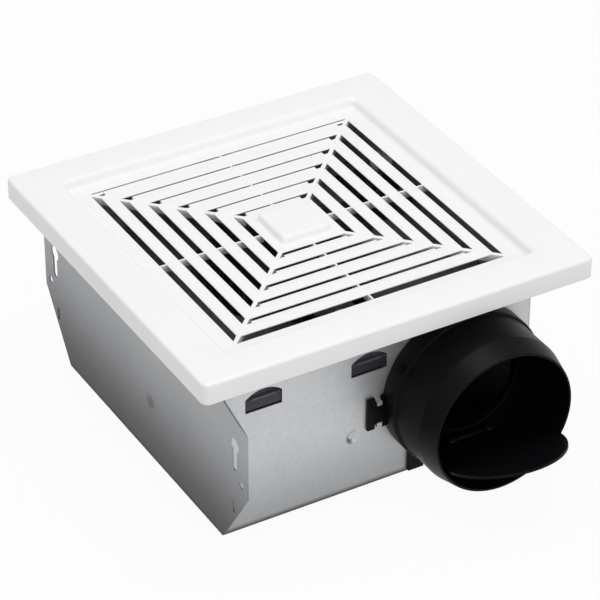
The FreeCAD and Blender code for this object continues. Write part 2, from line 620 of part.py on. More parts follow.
def motor_strap():
    """The bridge across the inlet: a low middle under the motor and a foot on each side of the plate."""
    low = LOW_BAR_Z + " - strap_t"
    rise = STRAP_SEAT_Z + " - (" + low + ")"
    half_w = "(-strap_w/2)"
    solids = [box(on_axis("(-strap_inner_x)", half_w) + (low,), ("2*strap_inner_x", "strap_w", "strap_t"))]
    foot_len = "inlet_r + strap_foot - strap_inner_x + strap_t"
    near_x = "strap_inner_x - strap_t"
    for x_riser, x_foot in (("(-strap_inner_x)", "(-inlet_r) - strap_foot"), (near_x, near_x)):
        solids.append(box(on_axis(x_riser, half_w) + (low,), ("strap_t", "strap_w", rise + " + strap_t")))
        solids.append(box(on_axis(x_foot, half_w) + (STRAP_SEAT_Z,), (foot_len, "strap_w", "strap_t")))
    cutters = [rod(on_axis() + (low,), "pocket_r + screw_gap", "strap_t")]
    for side in ("-", ""):
        cutters.append(rod(on_axis(side + "(" + PILLAR_X + ")") + (low,), "screw_r + screw_gap", "strap_t"))
    for x in STRAP_SCREWS:
        cutters.append(rod(on_axis(x) + (STRAP_SEAT_Z,), "screw_r + screw_gap", "strap_t"))
    return node("motor_strap", cut(fuse(*solids), *cutters))


def strap_grommets():
    """The rubber washers between the plate and the strap's feet."""
    washers = []
    for x in STRAP_SCREWS:
        at = on_axis(x) + ("plate_z + sheet_t",)
        washers.append(cut(rod(at, "grommet_r", "grommet_t"), rod(at, "screw_r + screw_gap", "grommet_t")))
    return node("strap_grommets", group(*washers))


def strap_screws():
    """The screws that hold the strap's feet on the plate."""
    screws = []
    for x in STRAP_SCREWS:
        at = on_axis(x)
        low = "plate_z - small_head_h"
        high = STRAP_SEAT_Z + " + strap_t"
        shank = rod(at + (low,), "screw_r", high + " - (" + low + ")")
        screws.append(fuse(shank, rod(at + (high,), "head_r", "head_h")))
    return node("strap_screws", group(*screws))


def wiring_box():
    """The two walls that part the wiring corner from the scroll, with a ledge for the cover's screw."""
    height = "plate_z - sheet_t"
    low_y = "-housing_y/2 + 2*sheet_t"
    walls = fuse(
        box((WIRING_WALL_X, low_y, "sheet_t"), ("sheet_t", "wiring_y + sheet_t", height)),
        box(("-housing_x/2 + sheet_t", WIRING_WALL_Y, "sheet_t"), ("wiring_x + sheet_t", "sheet_t", height)),
        box((WIRING_WALL_X + " - ledge", WIRING_WALL_Y + " - ledge", "plate_z - sheet_t"),
            ("ledge", "ledge", "sheet_t")))
    holes = [
        rod((COVER_SCREW_X, COVER_SCREW_Y, "plate_z - 2*sheet_t"), "small_screw_r + screw_gap", "3*sheet_t"),
        rod((WIRING_WALL_X, "entry_y", "entry_z"), "small_screw_r + bearing_gap", "sheet_t", X_AXIS),
    ]
    return node("wiring_box", cut(walls, *holes))


def receptacle_at(z):
    """The place of the receptacle's lowest corner, a little away from the cover's screw."""
    return ("-housing_x/2 + sheet_t + (wiring_x - receptacle_x)/2 - receptacle_shift",
            "-housing_y/2 + 2*sheet_t + (wiring_y - receptacle_y)/2 - receptacle_shift", z)


def wiring_cover():
    """The plate that closes the wiring corner and carries the receptacle."""
    cover = box(("-housing_x/2 + sheet_t + plate_gap", "-housing_y/2 + 2*sheet_t + plate_gap", "plate_z"),
                ("wiring_x - plate_gap", "wiring_y - plate_gap", "sheet_t"))
    corner = receptacle_at("plate_z")
    window = box((corner[0] + " - screw_gap", corner[1] + " - screw_gap", "plate_z"),
                 ("receptacle_x + 2*screw_gap", "receptacle_y + 2*screw_gap", "sheet_t"))
    hole = rod((COVER_SCREW_X, COVER_SCREW_Y, "plate_z"), "small_screw_r + screw_gap", "sheet_t")
    return node("wiring_cover", cut(cover, window, hole))


def receptacle():
    """The moulded socket for the motor's plug, with three blade slots and a collar on the cover."""
    corner = receptacle_at("plate_z - receptacle_h")
    block = box(corner, ("receptacle_x", "receptacle_y", "receptacle_h + sheet_t"))
    collar = box((corner[0] + " - socket_rim", corner[1] + " - socket_rim", "plate_z + sheet_t"),
                 ("receptacle_x + 2*socket_rim", "receptacle_y + 2*socket_rim", "2*sheet_t"))
    slots = []
    slot_y = corner[1] + " + (receptacle_y - blade_slot_l)/2"
    for step in (" - blade_slot_pitch", "", " + blade_slot_pitch"):
        slot_x = corner[0] + " + (receptacle_x - blade_slot_w)/2" + step
        slots.append(box((slot_x, slot_y, "plate_z + 3*sheet_t - blade_slot_depth"),
                         ("blade_slot_w", "blade_slot_l", "blade_slot_depth")))
    return node("receptacle", cut(fuse(block, collar), *slots))


def cover_screw():
    """The screw that holds the wiring cover to the ledge."""
    at = (COVER_SCREW_X, COVER_SCREW_Y, "plate_z + sheet_t")
    head = rod(at, "small_head_r", "small_head_h")
    shank = rod(at, "small_screw_r", "small_screw_len", -Z_AXIS)
    return node("cover_screw", fuse(head, shank))


def ground_screw():
    """The earth screw in the wiring corner's wall."""
    at = (WIRING_WALL_X, "entry_y", "entry_z")
    head = rod(at, "small_head_r", "small_head_h", -X_AXIS)
    shank = rod(at, "small_screw_r", "small_screw_len", X_AXIS)
    return node("ground_screw", fuse(head, shank))


def frustum(low, low_half, high, high_half):
    """A square block on the grille's axis whose sides lean from one half width to another."""
    rings = []
    for z, half in ((low, low_half), (high, high_half)):
        corners = [Vector(x * half, y * half, z) for x, y in ((-1, -1), (1, -1), (1, 1), (-1, 1))]
        rings.append(Part.makePolygon(corners + corners[:1]))
    return Part.makeLoft(rings, True, True)


def slot_reach(ring):
    """How far a ring of slots runs from the grille's axis."""
    return v("slot_pitch") * (FIRST_SLOT_PITCHES + ring)


def slot_rings():
    """How many rings of slots fit inside the rest ribs and spring posts that stand under the panel."""
    rest_face = v("housing_x") / 2 - v("sheet_t") / 2 - v("rest_rib_t") / 2
    post_face = spring_seat(1).y + post_room()
    room = min(rest_face, post_face) - v("slot_border") - v("slot_w") / 2
    return int(room // v("slot_pitch")) - FIRST_SLOT_PITCHES + 1


def grille_slots(floor_low, floor_top):
    """The cutters of the square slots, parted by a rib at each corner and at the middle of each side."""
    half, rib = v("slot_w") / 2, v("rib_t") / 2
    mitre = rib * math.sqrt(2)
    cutters = []
    for ring in range(slot_rings()):
        inner, outer = slot_reach(ring) - half, slot_reach(ring) + half
        points = [(inner, rib), (outer, rib), (outer, outer - mitre), (inner, inner - mitre)]
        for hand in (1, -1):
            bar = prism([(x, hand * y, floor_low) for x, y in points], Vector(0, 0, floor_top - floor_low))
            for quarter in range(4):
                turned = bar.copy()
                turned.rotate(Vector(), Z_AXIS, 90.0 * quarter)
                cutters.append(turned)
    return cutters


def sunk_ribs(floor_top):
    """The cutters that take the ribs' tops a little below the bars."""
    half, sink = v("slot_w") / 2, v("rib_sink")
    cutters = []
    for ring in range(slot_rings()):
        inner, outer = slot_reach(ring) - half, slot_reach(ring) + half
        band = frustum(floor_top - sink, outer, floor_top, outer)
        cutters.append(band.cut(frustum(floor_top - sink, inner, floor_top, inner)))
    return cutters


def grille():
    """The white louvred cover: rim, sunk panel with square slots, centre pad, rest ribs and spring posts."""
    half_x, half_y, wall = v("grille_x") / 2, v("grille_y") / 2, v("grille_t")
    low = v("housing_z")
    top = low + v("rim_h")
    floor_top = top - v("recess_depth")
    floor_low = floor_top - wall
    recess = v("housing_x") / 2 + v("recess_over")
    block = Part.makeBox(2 * half_x, 2 * half_y, top - low, Vector(-half_x, -half_y, low))
    uprights = [edge for edge in block.Edges if abs(edge.Vertexes[0].Z - edge.Vertexes[1].Z) > NEAR]
    block = block.makeFillet(v("grille_corner_r"), uprights)
    rim = [edge for edge in block.Edges if min(vertex.Z for vertex in edge.Vertexes) > top - NEAR]
    block = block.makeFillet(v("grille_edge_r"), rim)
    under = Part.makeBox(2 * (half_x - wall), 2 * (half_y - wall), top - wall - low,
                         Vector(wall - half_x, wall - half_y, low))
    draft = v("recess_draft")
    basin = frustum(floor_low, recess + wall, top, recess + wall + draft)
    pad = frustum(floor_top - wall / 2, v("pad_w") / 2 + v("pad_draft"), floor_top + v("pad_h"), v("pad_w") / 2)
    solid = block.cut(under.cut(basin))
    under_floor = Part.makeBox(2 * half_x, 2 * half_y, floor_low - low, Vector(-half_x, -half_y, low))
    solid = solid.cut(under_floor.common(under))
    solid = solid.cut(frustum(floor_top, recess, top, recess + draft))
    solid = solid.cut(Part.makeCompound(grille_slots(floor_low, floor_top)))
    solid = solid.cut(Part.makeCompound(sunk_ribs(floor_top)))
    solid = solid.multiFuse([pad] + rest_ribs(recess + wall) + spring_posts(recess + wall))
    return node("grille", shaped(solid.removeSplitter(), "Cover"))


def cover_low(reach, basin):
    """The cover's underside at some reach: the sunk panel's inside the basin, and the border's past it."""
    border_low = v("housing_z") + v("rim_h") - v("grille_t")
    return border_low - v("recess_depth") if reach < basin else border_low


def rest_ribs(basin):
    """Ribs that stand over the middle of the housing's upper edge, one to a side, each up to the cover."""
    low = v("housing_z") + v("rest_gap")
    thick, length = v("rest_rib_t"), v("rest_rib_l")
    ribs = []
    for along, size in ((X_AXIS, "housing_x"), (Y_AXIS, "housing_y")):
        reach = v(size) / 2 - v("sheet_t") / 2
        half = along * (thick / 2) + Z_AXIS.cross(along) * (length / 2)
        tall = cover_low(reach, basin) - low + v("rib_root")
        corners = (abs(half.x), abs(half.y))
        for side in (-1, 1):
            middle = along * (side * reach)
            ribs.append(Part.makeBox(2 * corners[0], 2 * corners[1], tall,
                                     Vector(middle.x - corners[0], middle.y - corners[1], low)))
    return ribs


def spring_seat(side):
    """The middle of a spring's coil, on the side of the grille that the sign gives."""
    wall = v("housing_y") / 2 - v("sheet_t")
    floor_low = v("housing_z") + v("rim_h") - v("recess_depth") - v("grille_t")
    return Vector(-side * v("spring_x"), side * (wall - v("spring_in")), floor_low - v("coil_drop"))


def spring_turns():
    """The coil's turns from leg to leg: the whole turns and what brings both legs down side by side."""
    return v("coil_turns") + 0.5 - v("leg_lean") / 180.0


def coil_rise(turn):
    """How far the wire moves along the coil's axis over some turns: level at both ends, steady between."""
    ease, pitch, total = v("coil_ease"), v("coil_pitch"), spring_turns()
    if turn < ease:
        return pitch * turn ** 2 / (2 * ease)
    if turn > total - ease:
        return pitch * (total - ease) - pitch * (total - turn) ** 2 / (2 * ease)
    return pitch * (turn - ease / 2)


def coil_span():
    """How far a spring's coil reaches along its axis, from wire middle to wire middle."""
    return coil_rise(spring_turns())


def post_room():
    """How far a spring's post stands from the middle of the coil."""
    return coil_span() / 2 + v("wire_r") + v("peg_gap")


def spring_posts(basin):
    """The posts under the cover, each with a peg inside a spring's coil."""
    posts = []
    peg_r = v("coil_r") - v("wire_r") - v("peg_gap")
    room = post_room()
    for side in (-1, 1):
        seat = spring_seat(side)
        width = 2 * peg_r
        outward = side * (room + v("post_t") / 2)
        top = cover_low(abs(seat.y + outward), basin) + v("rib_root")
        post = Part.makeBox(width, v("post_t"), top - seat.z,
                            Vector(seat.x - peg_r, seat.y + outward - v("post_t") / 2, seat.z))
        peg_start = seat + Vector(0, outward + side * v("post_t") / 2, 0)
        peg = Part.makeCylinder(peg_r, 2 * room + v("post_t"), peg_start, Vector(0, -side, 0))
        posts += [post, peg]
    return posts


def arc_middle(start, heading, end):
    """The middle of the arc that leaves a point along a heading and ends at another point."""
    chord = end - start
    along = Vector(chord).normalize()
    lean = math.acos(max(-1.0, min(1.0, heading.dot(along))))
    aside = (heading - along * math.cos(lean)).normalize()
    return start + chord * 0.5 + aside * (chord.Length / 2 * math.tan(lean / 2))


def biarc(start, heading, end, end_heading):
    """Two arcs that join two points and keep the heading at both and where they meet."""
    span = end - start
    both = heading + end_heading
    turn = 2 * (1 - heading.dot(end_heading))
    reach = (-span.dot(both) + math.sqrt(span.dot(both) ** 2 + turn * span.dot(span))) / turn
    meet = (start + end + (heading - end_heading) * reach) * 0.5
    return [Part.Arc(start, arc_middle(start, heading, meet), meet).toShape(),
            Part.Arc(meet, arc_middle(end, -end_heading, meet), end).toShape()]


def coil_point(turn):
    """The wire's middle and heading on the coil after some turns, about the Y axis."""
    step = 1e-4
    angle = math.radians(v("leg_lean")) + 2 * math.pi * turn
    slope = (coil_rise(min(turn + step, spring_turns())) - coil_rise(max(turn - step, 0.0)))
    slope /= min(turn + step, spring_turns()) - max(turn - step, 0.0)
    ends = turn < step or turn > spring_turns() - step
    radius = v("coil_r")
    place_on = Vector(radius * math.cos(angle), coil_rise(turn) - coil_span() / 2, radius * math.sin(angle))
    climb = 0.0 if ends else slope / (2 * math.pi * radius)
    return place_on, Vector(-math.sin(angle), climb, math.cos(angle)).normalize()


def spring_gap():
    """The least gap between neighbouring turns of the coil, from points along it."""
    samples = 400
    turns = [spring_turns() * index / samples for index in range(samples + 1)]
    points = [coil_point(turn)[0] for turn in turns]
    least = min(points[a].distanceToPoint(points[b]) for a in range(samples + 1)
                for b in range(a + 1, samples + 1) if turns[b] - turns[a] > 0.5)
    return least - 2 * v("wire_r")


def grille_spring(label, side):
    """A torsion spring: leg, coil on quarter-turn biarcs and leg, as one wire, turned to its side."""
    quarters = math.ceil(4 * spring_turns())
    stops = [coil_point(spring_turns() * index / quarters) for index in range(quarters + 1)]
    edges = [Part.makeLine(stops[0][0] - stops[0][1] * v("leg_len"), stops[0][0])]
    for (start, heading), (end, end_heading) in zip(stops, stops[1:]):
        edges += biarc(start, heading, end, end_heading)
    edges.append(Part.makeLine(stops[-1][0], stops[-1][0] + stops[-1][1] * v("leg_len")))
    path = Part.Wire(edges)
    first = edges[0].Vertexes[0].Point
    section = Part.Wire([Part.makeCircle(v("wire_r"), first, stops[0][1])])
    wire = path.makePipeShell([section], True, False)
    spring = shaped(wire, "Spring")
    spring.Placement = Placement(spring_seat(side), Rotation())
    return node(label, spring)


def spring_bracket(label, side):
    """The slotted angle on the housing's side that a spring's legs pass through."""
    half = "(housing_y/2 - sheet_t)"
    x = ("-" if side > 0 else "") + "spring_x"
    if side > 0:
        shelf_y, flange_y = half + " - bracket_depth", half + " - sheet_t"
        slot_y = half + " - spring_in - slot_across/2"
    else:
        shelf_y = flange_y = "-" + half
        slot_y = "-" + half + " + spring_in - slot_across/2"
    shelf = box((x + " - bracket_len/2", shelf_y, "spring_bracket_z"),
                ("bracket_len", "bracket_depth", "sheet_t"))
    flange = box((x + " - bracket_len/2", flange_y, "spring_bracket_z - spring_bracket_flange"),
                 ("bracket_len", "sheet_t", "spring_bracket_flange + sheet_t"))
    slot = box((x + " - slot_l/2", slot_y, "spring_bracket_z"), ("slot_l", "slot_across", "sheet_t"))
    return node(label, cut(fuse(shelf, flange), slot))


def build():
    """Makes every sub-part."""
    housing_body()
    mounting_panel()
    end_panel()
    duct_connector()
    damper_flap()
    scroll_wall()
    motor_plate()
    plate_screw()
    wheel_disc()
    wheel_blades()
    wheel_ring()
    wheel_clip()
    motor_shaft()
    rotor_core()
    stator_core()
    shading_bars()
    coil_bobbin()
    motor_coil()
    low_pocket = LOW_BAR_Z + " - pocket_h"
    high_pocket = HIGH_BAR_Z + " + bracket_t - pocket_h"
    bearing_bracket("lower_bearing_bracket", LOW_BAR_Z, LOW_BAR_Z + " + bracket_t", low_pocket)
    bearing_bracket("upper_bearing_bracket", HIGH_BAR_Z, CORE_TOP_Z, high_pocket)
    bearing("lower_bearing", low_pocket)
    bearing("upper_bearing", high_pocket)
    motor_screws()
    motor_nuts()
    motor_strap()
    strap_grommets()
    strap_screws()
    wiring_box()
    wiring_cover()
    receptacle()
    cover_screw()
    ground_screw()
    grille()
    grille_spring("left_grille_spring", -1)
    grille_spring("right_grille_spring", 1)
    spring_bracket("left_spring_bracket", -1)
    spring_bracket("right_spring_bracket", 1)


def check_and_write():
    """Stops on any failed object or bad shape, then writes each sub-part to its own file."""
    doc.recompute()
    for obj in doc.Objects:
        if "Invalid" in obj.State or "Error" in obj.State:
            raise RuntimeError(obj.Label + " failed: " + str(obj.State))
    for label, obj in NODES:
        if obj.Shape.isNull() or not obj.Shape.isValid() or obj.Shape.Volume < 1e-3:
            raise RuntimeError(label + " has no valid solid")
    os.makedirs("parts", exist_ok=True)
    for label, obj in NODES:
        obj.Shape.exportStep(os.path.join("parts", label + ".step"))
        print("%-24s %3d solid(s) %10.1f mm3" % (label, len(obj.Shape.Solids), obj.Shape.Volume))
    print("least gap between the spring's turns %.2f mm" % spring_gap())


build()
check_and_write()
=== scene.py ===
"""Looks of the bathroom exhaust fan: moulded cover, galvanised housing, black duct collar and its studio."""
import json
import math

import bpy
import numpy as np
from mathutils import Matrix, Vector


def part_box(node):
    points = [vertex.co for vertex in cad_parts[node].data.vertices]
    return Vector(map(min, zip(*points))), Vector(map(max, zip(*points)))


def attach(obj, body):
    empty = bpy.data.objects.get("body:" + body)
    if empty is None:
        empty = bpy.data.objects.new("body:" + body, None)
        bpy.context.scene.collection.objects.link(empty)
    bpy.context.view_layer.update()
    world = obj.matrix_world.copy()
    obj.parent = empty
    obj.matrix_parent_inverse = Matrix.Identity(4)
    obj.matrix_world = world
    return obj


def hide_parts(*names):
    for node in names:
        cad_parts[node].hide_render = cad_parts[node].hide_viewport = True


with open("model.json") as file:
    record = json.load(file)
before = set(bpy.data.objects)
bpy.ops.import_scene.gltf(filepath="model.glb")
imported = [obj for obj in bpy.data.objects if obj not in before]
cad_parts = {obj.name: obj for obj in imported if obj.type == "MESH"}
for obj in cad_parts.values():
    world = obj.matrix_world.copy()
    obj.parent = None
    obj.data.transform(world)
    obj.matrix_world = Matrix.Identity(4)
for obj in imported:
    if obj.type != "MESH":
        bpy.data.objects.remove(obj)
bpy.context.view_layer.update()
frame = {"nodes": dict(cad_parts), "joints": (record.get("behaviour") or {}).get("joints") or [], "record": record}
NODES = frame["nodes"]
MOUNTS = {mount["name"]: mount for mount in frame["record"]["mounts"]}
JOINTS = {joint["name"]: joint for joint in frame["joints"]}
MM_IN_METRE = 1000.0


def millimetres(place):
    """A place of the frame in millimetres, to a tenth."""
    return np.round(np.array(place) * MM_IN_METRE, 1)


def node_box(node):
    """A CAD node's lowest and highest corner in millimetres."""
    return [millimetres(corner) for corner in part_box(node)]


# Finishes

class Finish:
    """A material under construction: its Principled shader, and short ways to add and join nodes."""

    def __init__(self, name, colour, roughness, metallic=0.0, specular=0.5):
        self.material = bpy.data.materials.new(name)
        self.material.use_nodes = True
        self.tree = self.material.node_tree
        self.shader = self.tree.nodes["Principled BSDF"]
        self.set("Base Color", (*colour, 1.0))
        self.set("Roughness", roughness)
        self.set("Metallic", metallic)
        self.set("Specular IOR Level", specular)
        self.place = self.add("ShaderNodeTexCoord").outputs["Object"]

    def set(self, socket, value):
        """Gives one of the shader's sockets a constant."""
        self.shader.inputs[socket].default_value = value

    def add(self, kind, **settings):
        """A node of a kind, with its properties set."""
        made = self.tree.nodes.new(kind)
        for name, value in settings.items():
            setattr(made, name, value)
        return made

    def join(self, source, target):
        """Links an output to an input."""
        self.tree.links.new(source, target)

    def mapped(self, scale):
        """Object coordinates in metres, stretched by three factors."""
        mapping = self.add("ShaderNodeMapping")
        mapping.inputs["Scale"].default_value = scale
        self.join(self.place, mapping.inputs["Vector"])
        return mapping.outputs["Vector"]

    def noise(self, scale, detail=3.0, stretch=(1, 1, 1)):
        """Cloudy noise with so many features to the metre."""
        made = self.add("ShaderNodeTexNoise")
        made.inputs["Scale"].default_value = scale
        made.inputs["Detail"].default_value = detail
        self.join(self.mapped(stretch), made.inputs["Vector"])
        return made.outputs["Fac"]

    def cells(self, scale):
        """The colours of Voronoi cells, so many to the metre."""
        made = self.add("ShaderNodeTexVoronoi")
        made.inputs["Scale"].default_value = scale
        self.join(self.place, made.inputs["Vector"])
        return made.outputs["Color"]

    def bands(self, scale, axis):
        """Straight stripes across one axis, so many to the metre."""
        made = self.add("ShaderNodeTexWave", wave_type="BANDS", bands_direction=axis, wave_profile="SIN")
        made.inputs["Scale"].default_value = scale
        self.join(self.place, made.inputs["Vector"])
        return made.outputs["Fac"]

    def ramp(self, source, low, high, span=(0.0, 1.0)):
        """Two greys or colours, from the one to the other while a source goes through a span."""
        made = self.add("ShaderNodeValToRGB")
        for element, at, value in zip(made.color_ramp.elements, span, (low, high)):
            element.position = at
            element.color = (*value, 1.0) if hasattr(value, "__len__") else (value, value, value, 1.0)
        self.join(source, made.inputs["Fac"])
        return made.outputs["Color"]

    def product(self, first, second):
        """Two colours multiplied."""
        made = self.add("ShaderNodeMix", data_type="RGBA", blend_type="MULTIPLY")
        made.inputs["Factor"].default_value = 1.0
        self.join(first, made.inputs["A"])
        self.join(second, made.inputs["B"])
        return made.outputs["Result"]

    def level(self, low, high, dark):
        """A grey that rises from dark to white between two heights in metres."""
        split = self.add("ShaderNodeSeparateXYZ")
        self.join(self.place, split.inputs["Vector"])
        span = self.add("ShaderNodeMapRange", interpolation_type="SMOOTHSTEP")
        for socket, value in (("From Min", low), ("From Max", high), ("To Min", dark), ("To Max", 1.0)):
            span.inputs[socket].default_value = value
        self.join(split.outputs["Z"], span.inputs["Value"])
        return span.outputs["Result"]

    def colour(self, source):
        """Takes the base colour from a node."""
        self.join(source, self.shader.inputs["Base Color"])

    def roughness(self, source):
        """Takes the roughness from a node."""
        self.join(source, self.shader.inputs["Roughness"])

    def bump(self, source, height):
        """Raises the surface by a source, by a height in metres."""
        made = self.add("ShaderNodeBump")
        made.inputs["Strength"].default_value = 1.0
        made.inputs["Distance"].default_value = height
        self.join(source, made.inputs["Height"])
        self.join(made.outputs["Normal"], self.shader.inputs["Normal"])


# Zinc: features to the metre and the spans of their greys, roughness, and the heights of its painted shade towards
# the lower part and of its painted shadow line along the bottom edge
FLAKES, GRAINS, CLOUDS, DENTS = 520.0, 1500.0, 22.0, 700.0
FLAKE_SPAN, GRAIN_SPAN, CLOUD_SPAN = (0.15, 0.85), (0.2, 0.8), (0.35, 0.65)
CLOUD_DETAIL, TARNISH = 4.0, 0.95
SMOOTH_ZINC, ROUGH_ZINC, DENT_DEEP = 0.41, 0.46, 0.00001
# Painted shade: the colour is darkest at this height and rises to full colour at a given height above it
PAINTED_SHADE_FROM = -0.005
# Painted shadow line: a dark band along the bottom edge up to this height, at this share of the colour
SHADOW_LINE_HIGH, SHADOW_LINE_DARK = 0.004, 0.2

# Plastic and plain metal: features to the metre, shares of the colour, and steps of roughness
EVEN_SPAN = (0.3, 0.7)
STAINS, SHEENS, MOULD_GRAINS = 60.0, 240.0, 2600.0
STAIN_SHARE, SHEEN_STEP = 0.985, 0.05
BRUSHING, BRUSHED_SHEENS, BRUSH_DETAIL = 500.0, 300.0, 2.0
BRUSHED_DARK, BRUSHED_LIGHT = 0.85, 1.08
SMOOTHER, ROUGHER = 0.06, 0.1

# Laminations: sheets to the metre, the span and shares of their colour, and the depth between them
LAMINATIONS, LAMINATION_SPAN, LAMINATION_DEEP = 320.0, (0.1, 0.6), 0.00008
LAMINATION_DARK, LAMINATION_LIGHT = 0.45, 1.1


def shades(colour, low, high):
    """A colour times two factors."""
    return tuple(low * part for part in colour), tuple(high * part for part in colour)


def galvanised(name, colour, spread, metallic, painted_shade_share=1.0, painted_shade_high=0.1):
    """Zinc-coated sheet: crystals of two sizes in slightly different greys, a cloudy tarnish, painted shade that
    darkens the lower part, and a painted shadow line along the edge that it stood on."""
    finish = Finish(name, colour, ROUGH_ZINC, metallic)
    flakes = finish.ramp(finish.cells(FLAKES), *shades(colour, 1.0 - spread, 1.0 + spread), FLAKE_SPAN)
    grains = finish.ramp(finish.cells(GRAINS), 1.0 - spread, 1.0, GRAIN_SPAN)
    cloud = finish.ramp(finish.noise(CLOUDS, CLOUD_DETAIL), TARNISH, 1.0, CLOUD_SPAN)
    mottled = finish.product(finish.product(flakes, grains), cloud)
    # Painted shade: the colour darkens towards the lower part of the sheet
    with_painted_shade = finish.product(mottled, finish.level(PAINTED_SHADE_FROM, painted_shade_high, painted_shade_share))
    # Painted shadow: a dark line along the bottom edge
    finish.colour(finish.product(with_painted_shade, finish.level(0.0, SHADOW_LINE_HIGH, SHADOW_LINE_DARK)))
    finish.roughness(finish.ramp(finish.cells(FLAKES), SMOOTH_ZINC, ROUGH_ZINC))
    finish.bump(finish.noise(DENTS), DENT_DEEP)
    return finish.material


def moulded(name, colour, roughness, grain, specular=0.5):
    """Moulded plastic: a fine even texture and a faint unevenness of colour."""
    finish = Finish(name, colour, roughness, 0.0, specular)
    finish.colour(finish.ramp(finish.noise(STAINS), *shades(colour, STAIN_SHARE, 1.0), EVEN_SPAN))
    finish.roughness(finish.ramp(finish.noise(SHEENS), roughness - SHEEN_STEP, roughness + SHEEN_STEP))
    finish.bump(finish.noise(MOULD_GRAINS, detail=1.0), grain)
    return finish.material


def plain_metal(name, colour, roughness, stretch=(1, 1, 1)):
    """Bare or plated metal: fine brushed noise along one direction."""
    finish = Finish(name, colour, roughness, 1.0)
    brushing = finish.noise(BRUSHING, BRUSH_DETAIL, stretch)
    finish.colour(finish.ramp(brushing, *shades(colour, BRUSHED_DARK, BRUSHED_LIGHT), EVEN_SPAN))
    sheen = finish.noise(BRUSHED_SHEENS, BRUSH_DETAIL, stretch)
    finish.roughness(finish.ramp(sheen, roughness - SMOOTHER, roughness + ROUGHER))
    return finish.material


def laminated(name, colour, roughness, metallic):
    """A stack of thin steel sheets: level lines across the stack."""
    finish = Finish(name, colour, roughness, metallic)
    lines = finish.bands(LAMINATIONS, "Z")
    finish.colour(finish.ramp(lines, *shades(colour, LAMINATION_DARK, LAMINATION_LIGHT), LAMINATION_SPAN))
    finish.bump(lines, LAMINATION_DEEP)
    return finish.material


FINISHES = {
    "galvanised_steel": galvanised("galvanised_steel", (0.62, 0.628, 0.643), spread=0.035, metallic=0.8,
                                   painted_shade_share=0.60, painted_shade_high=0.055),
    # Painted shade: the fan's inner galvanised steel is coloured far darker than the housing's zinc, for its
    # shaded inside
    "inner_steel": galvanised("inner_steel", (0.12, 0.122, 0.128), spread=0.12, metallic=0.5),
    "black_plastic": moulded("black_plastic", (0.003, 0.003, 0.004), 0.40, grain=0.00001, specular=0.09),
    "white_plastic": moulded("white_plastic", (0.88, 0.88, 0.885), 0.34, grain=0.000006),
    "wheel_aluminium": plain_metal("wheel_aluminium", (0.42, 0.43, 0.44), 0.38),
    "spring_steel": plain_metal("spring_steel", (0.42, 0.42, 0.44), 0.3),
    "shaft_steel": plain_metal("shaft_steel", (0.60, 0.60, 0.62), 0.22, stretch=(1, 1, 12)),
    "lamination_steel": laminated("lamination_steel", (0.11, 0.115, 0.125), 0.5, metallic=0.9),
    # Copper darkened far below its own colour: partly dark varnish, partly painted shade for the coil inside the
    # fan
    "copper": plain_metal("copper", (0.034, 0.020, 0.014), 0.34),
    "bobbin_plastic": moulded("bobbin_plastic", (0.03, 0.03, 0.032), 0.45, grain=0.00001),
    "cast_alloy": plain_metal("cast_alloy", (0.24, 0.245, 0.25), 0.45),
    "bearing_bronze": plain_metal("bearing_bronze", (0.45, 0.30, 0.15), 0.35),
    "zinc_plated_steel": plain_metal("zinc_plated_steel", (0.60, 0.60, 0.58), 0.28),
    "grommet_rubber": moulded("grommet_rubber", (0.02, 0.02, 0.02), 0.7, grain=0.00002, specular=0.3),
    "receptacle_plastic": moulded("receptacle_plastic", (0.035, 0.035, 0.037), 0.4, grain=0.00001),
}
# Painted shade: zinc far darker than the inner steel, for the plate's tabs seen inside the windows
SHADED_LIP_STEEL = galvanised("shaded_plate_steel", (0.040, 0.042, 0.049), spread=0.12, metallic=0.5)
# Painted shade: a darker copy of the housing's zinc for the mounting panel, whose face is turned from the lamps,
# with strong painted shade towards the bottom
SHADED_PANEL_STEEL = galvanised("shaded_galvanised_steel", (0.388, 0.394, 0.407), spread=0.045, metallic=0.8,
                         painted_shade_share=0.11, painted_shade_high=0.085)


def dress(mesh, material):
    """Gives a mesh one material and no other."""
    mesh.materials.clear()
    mesh.materials.append(material)


for entry in frame["record"]["subparts"]:
    dress(NODES[entry["node"]].data, FINISHES[entry["material_slot"]])
# The mounting panel takes the darker copy of the zinc: painted shade
dress(NODES["mounting_panel"].data, SHADED_PANEL_STEEL)


# Surfaces

LEAST_ROUND = 0.02
AXIS_X, AXIS_Y, AXIS_Z = np.eye(3)
CREASE, BEVELLED = math.radians(35.0), math.radians(30.0)


def unit(vectors):
    """Vectors brought to length one."""
    return vectors / np.linalg.norm(vectors, axis=-1, keepdims=True)


def filleted(corners, steps=4, closed=True):
    """A line through corners (a, b, radius): each corner becomes an arc that touches both its sides.
    A point of an arc is the sum of its two end spokes, weighted by the sines of what is left of its turn."""
    corners = np.asarray(corners, float)
    at, radius = corners[:, :2], np.maximum(corners[:, 2:], LEAST_ROUND)
    back, ahead = unit(np.roll(at, 1, 0) - at), unit(np.roll(at, -1, 0) - at)
    half = np.arccos(np.clip((back * ahead).sum(1, keepdims=True), -1.0, 1.0)) / 2
    middle = at + unit(back + ahead) * radius / np.sin(half)
    first, last = (at + side * radius / np.tan(half) - middle for side in (back, ahead))
    turn = (math.pi - 2 * half)[:, None]
    share = np.linspace(0, 1, steps + 1)[:, None]
    spokes = np.sin((1 - share) * turn) * first[:, None] + np.sin(share * turn) * last[:, None]
    arcs = middle[:, None] + spokes / np.sin(turn)
    if closed:
        return arcs.reshape(-1, 2)
    return np.concatenate([at[:1], arcs[1:-1].reshape(-1, 2), at[-1:]])


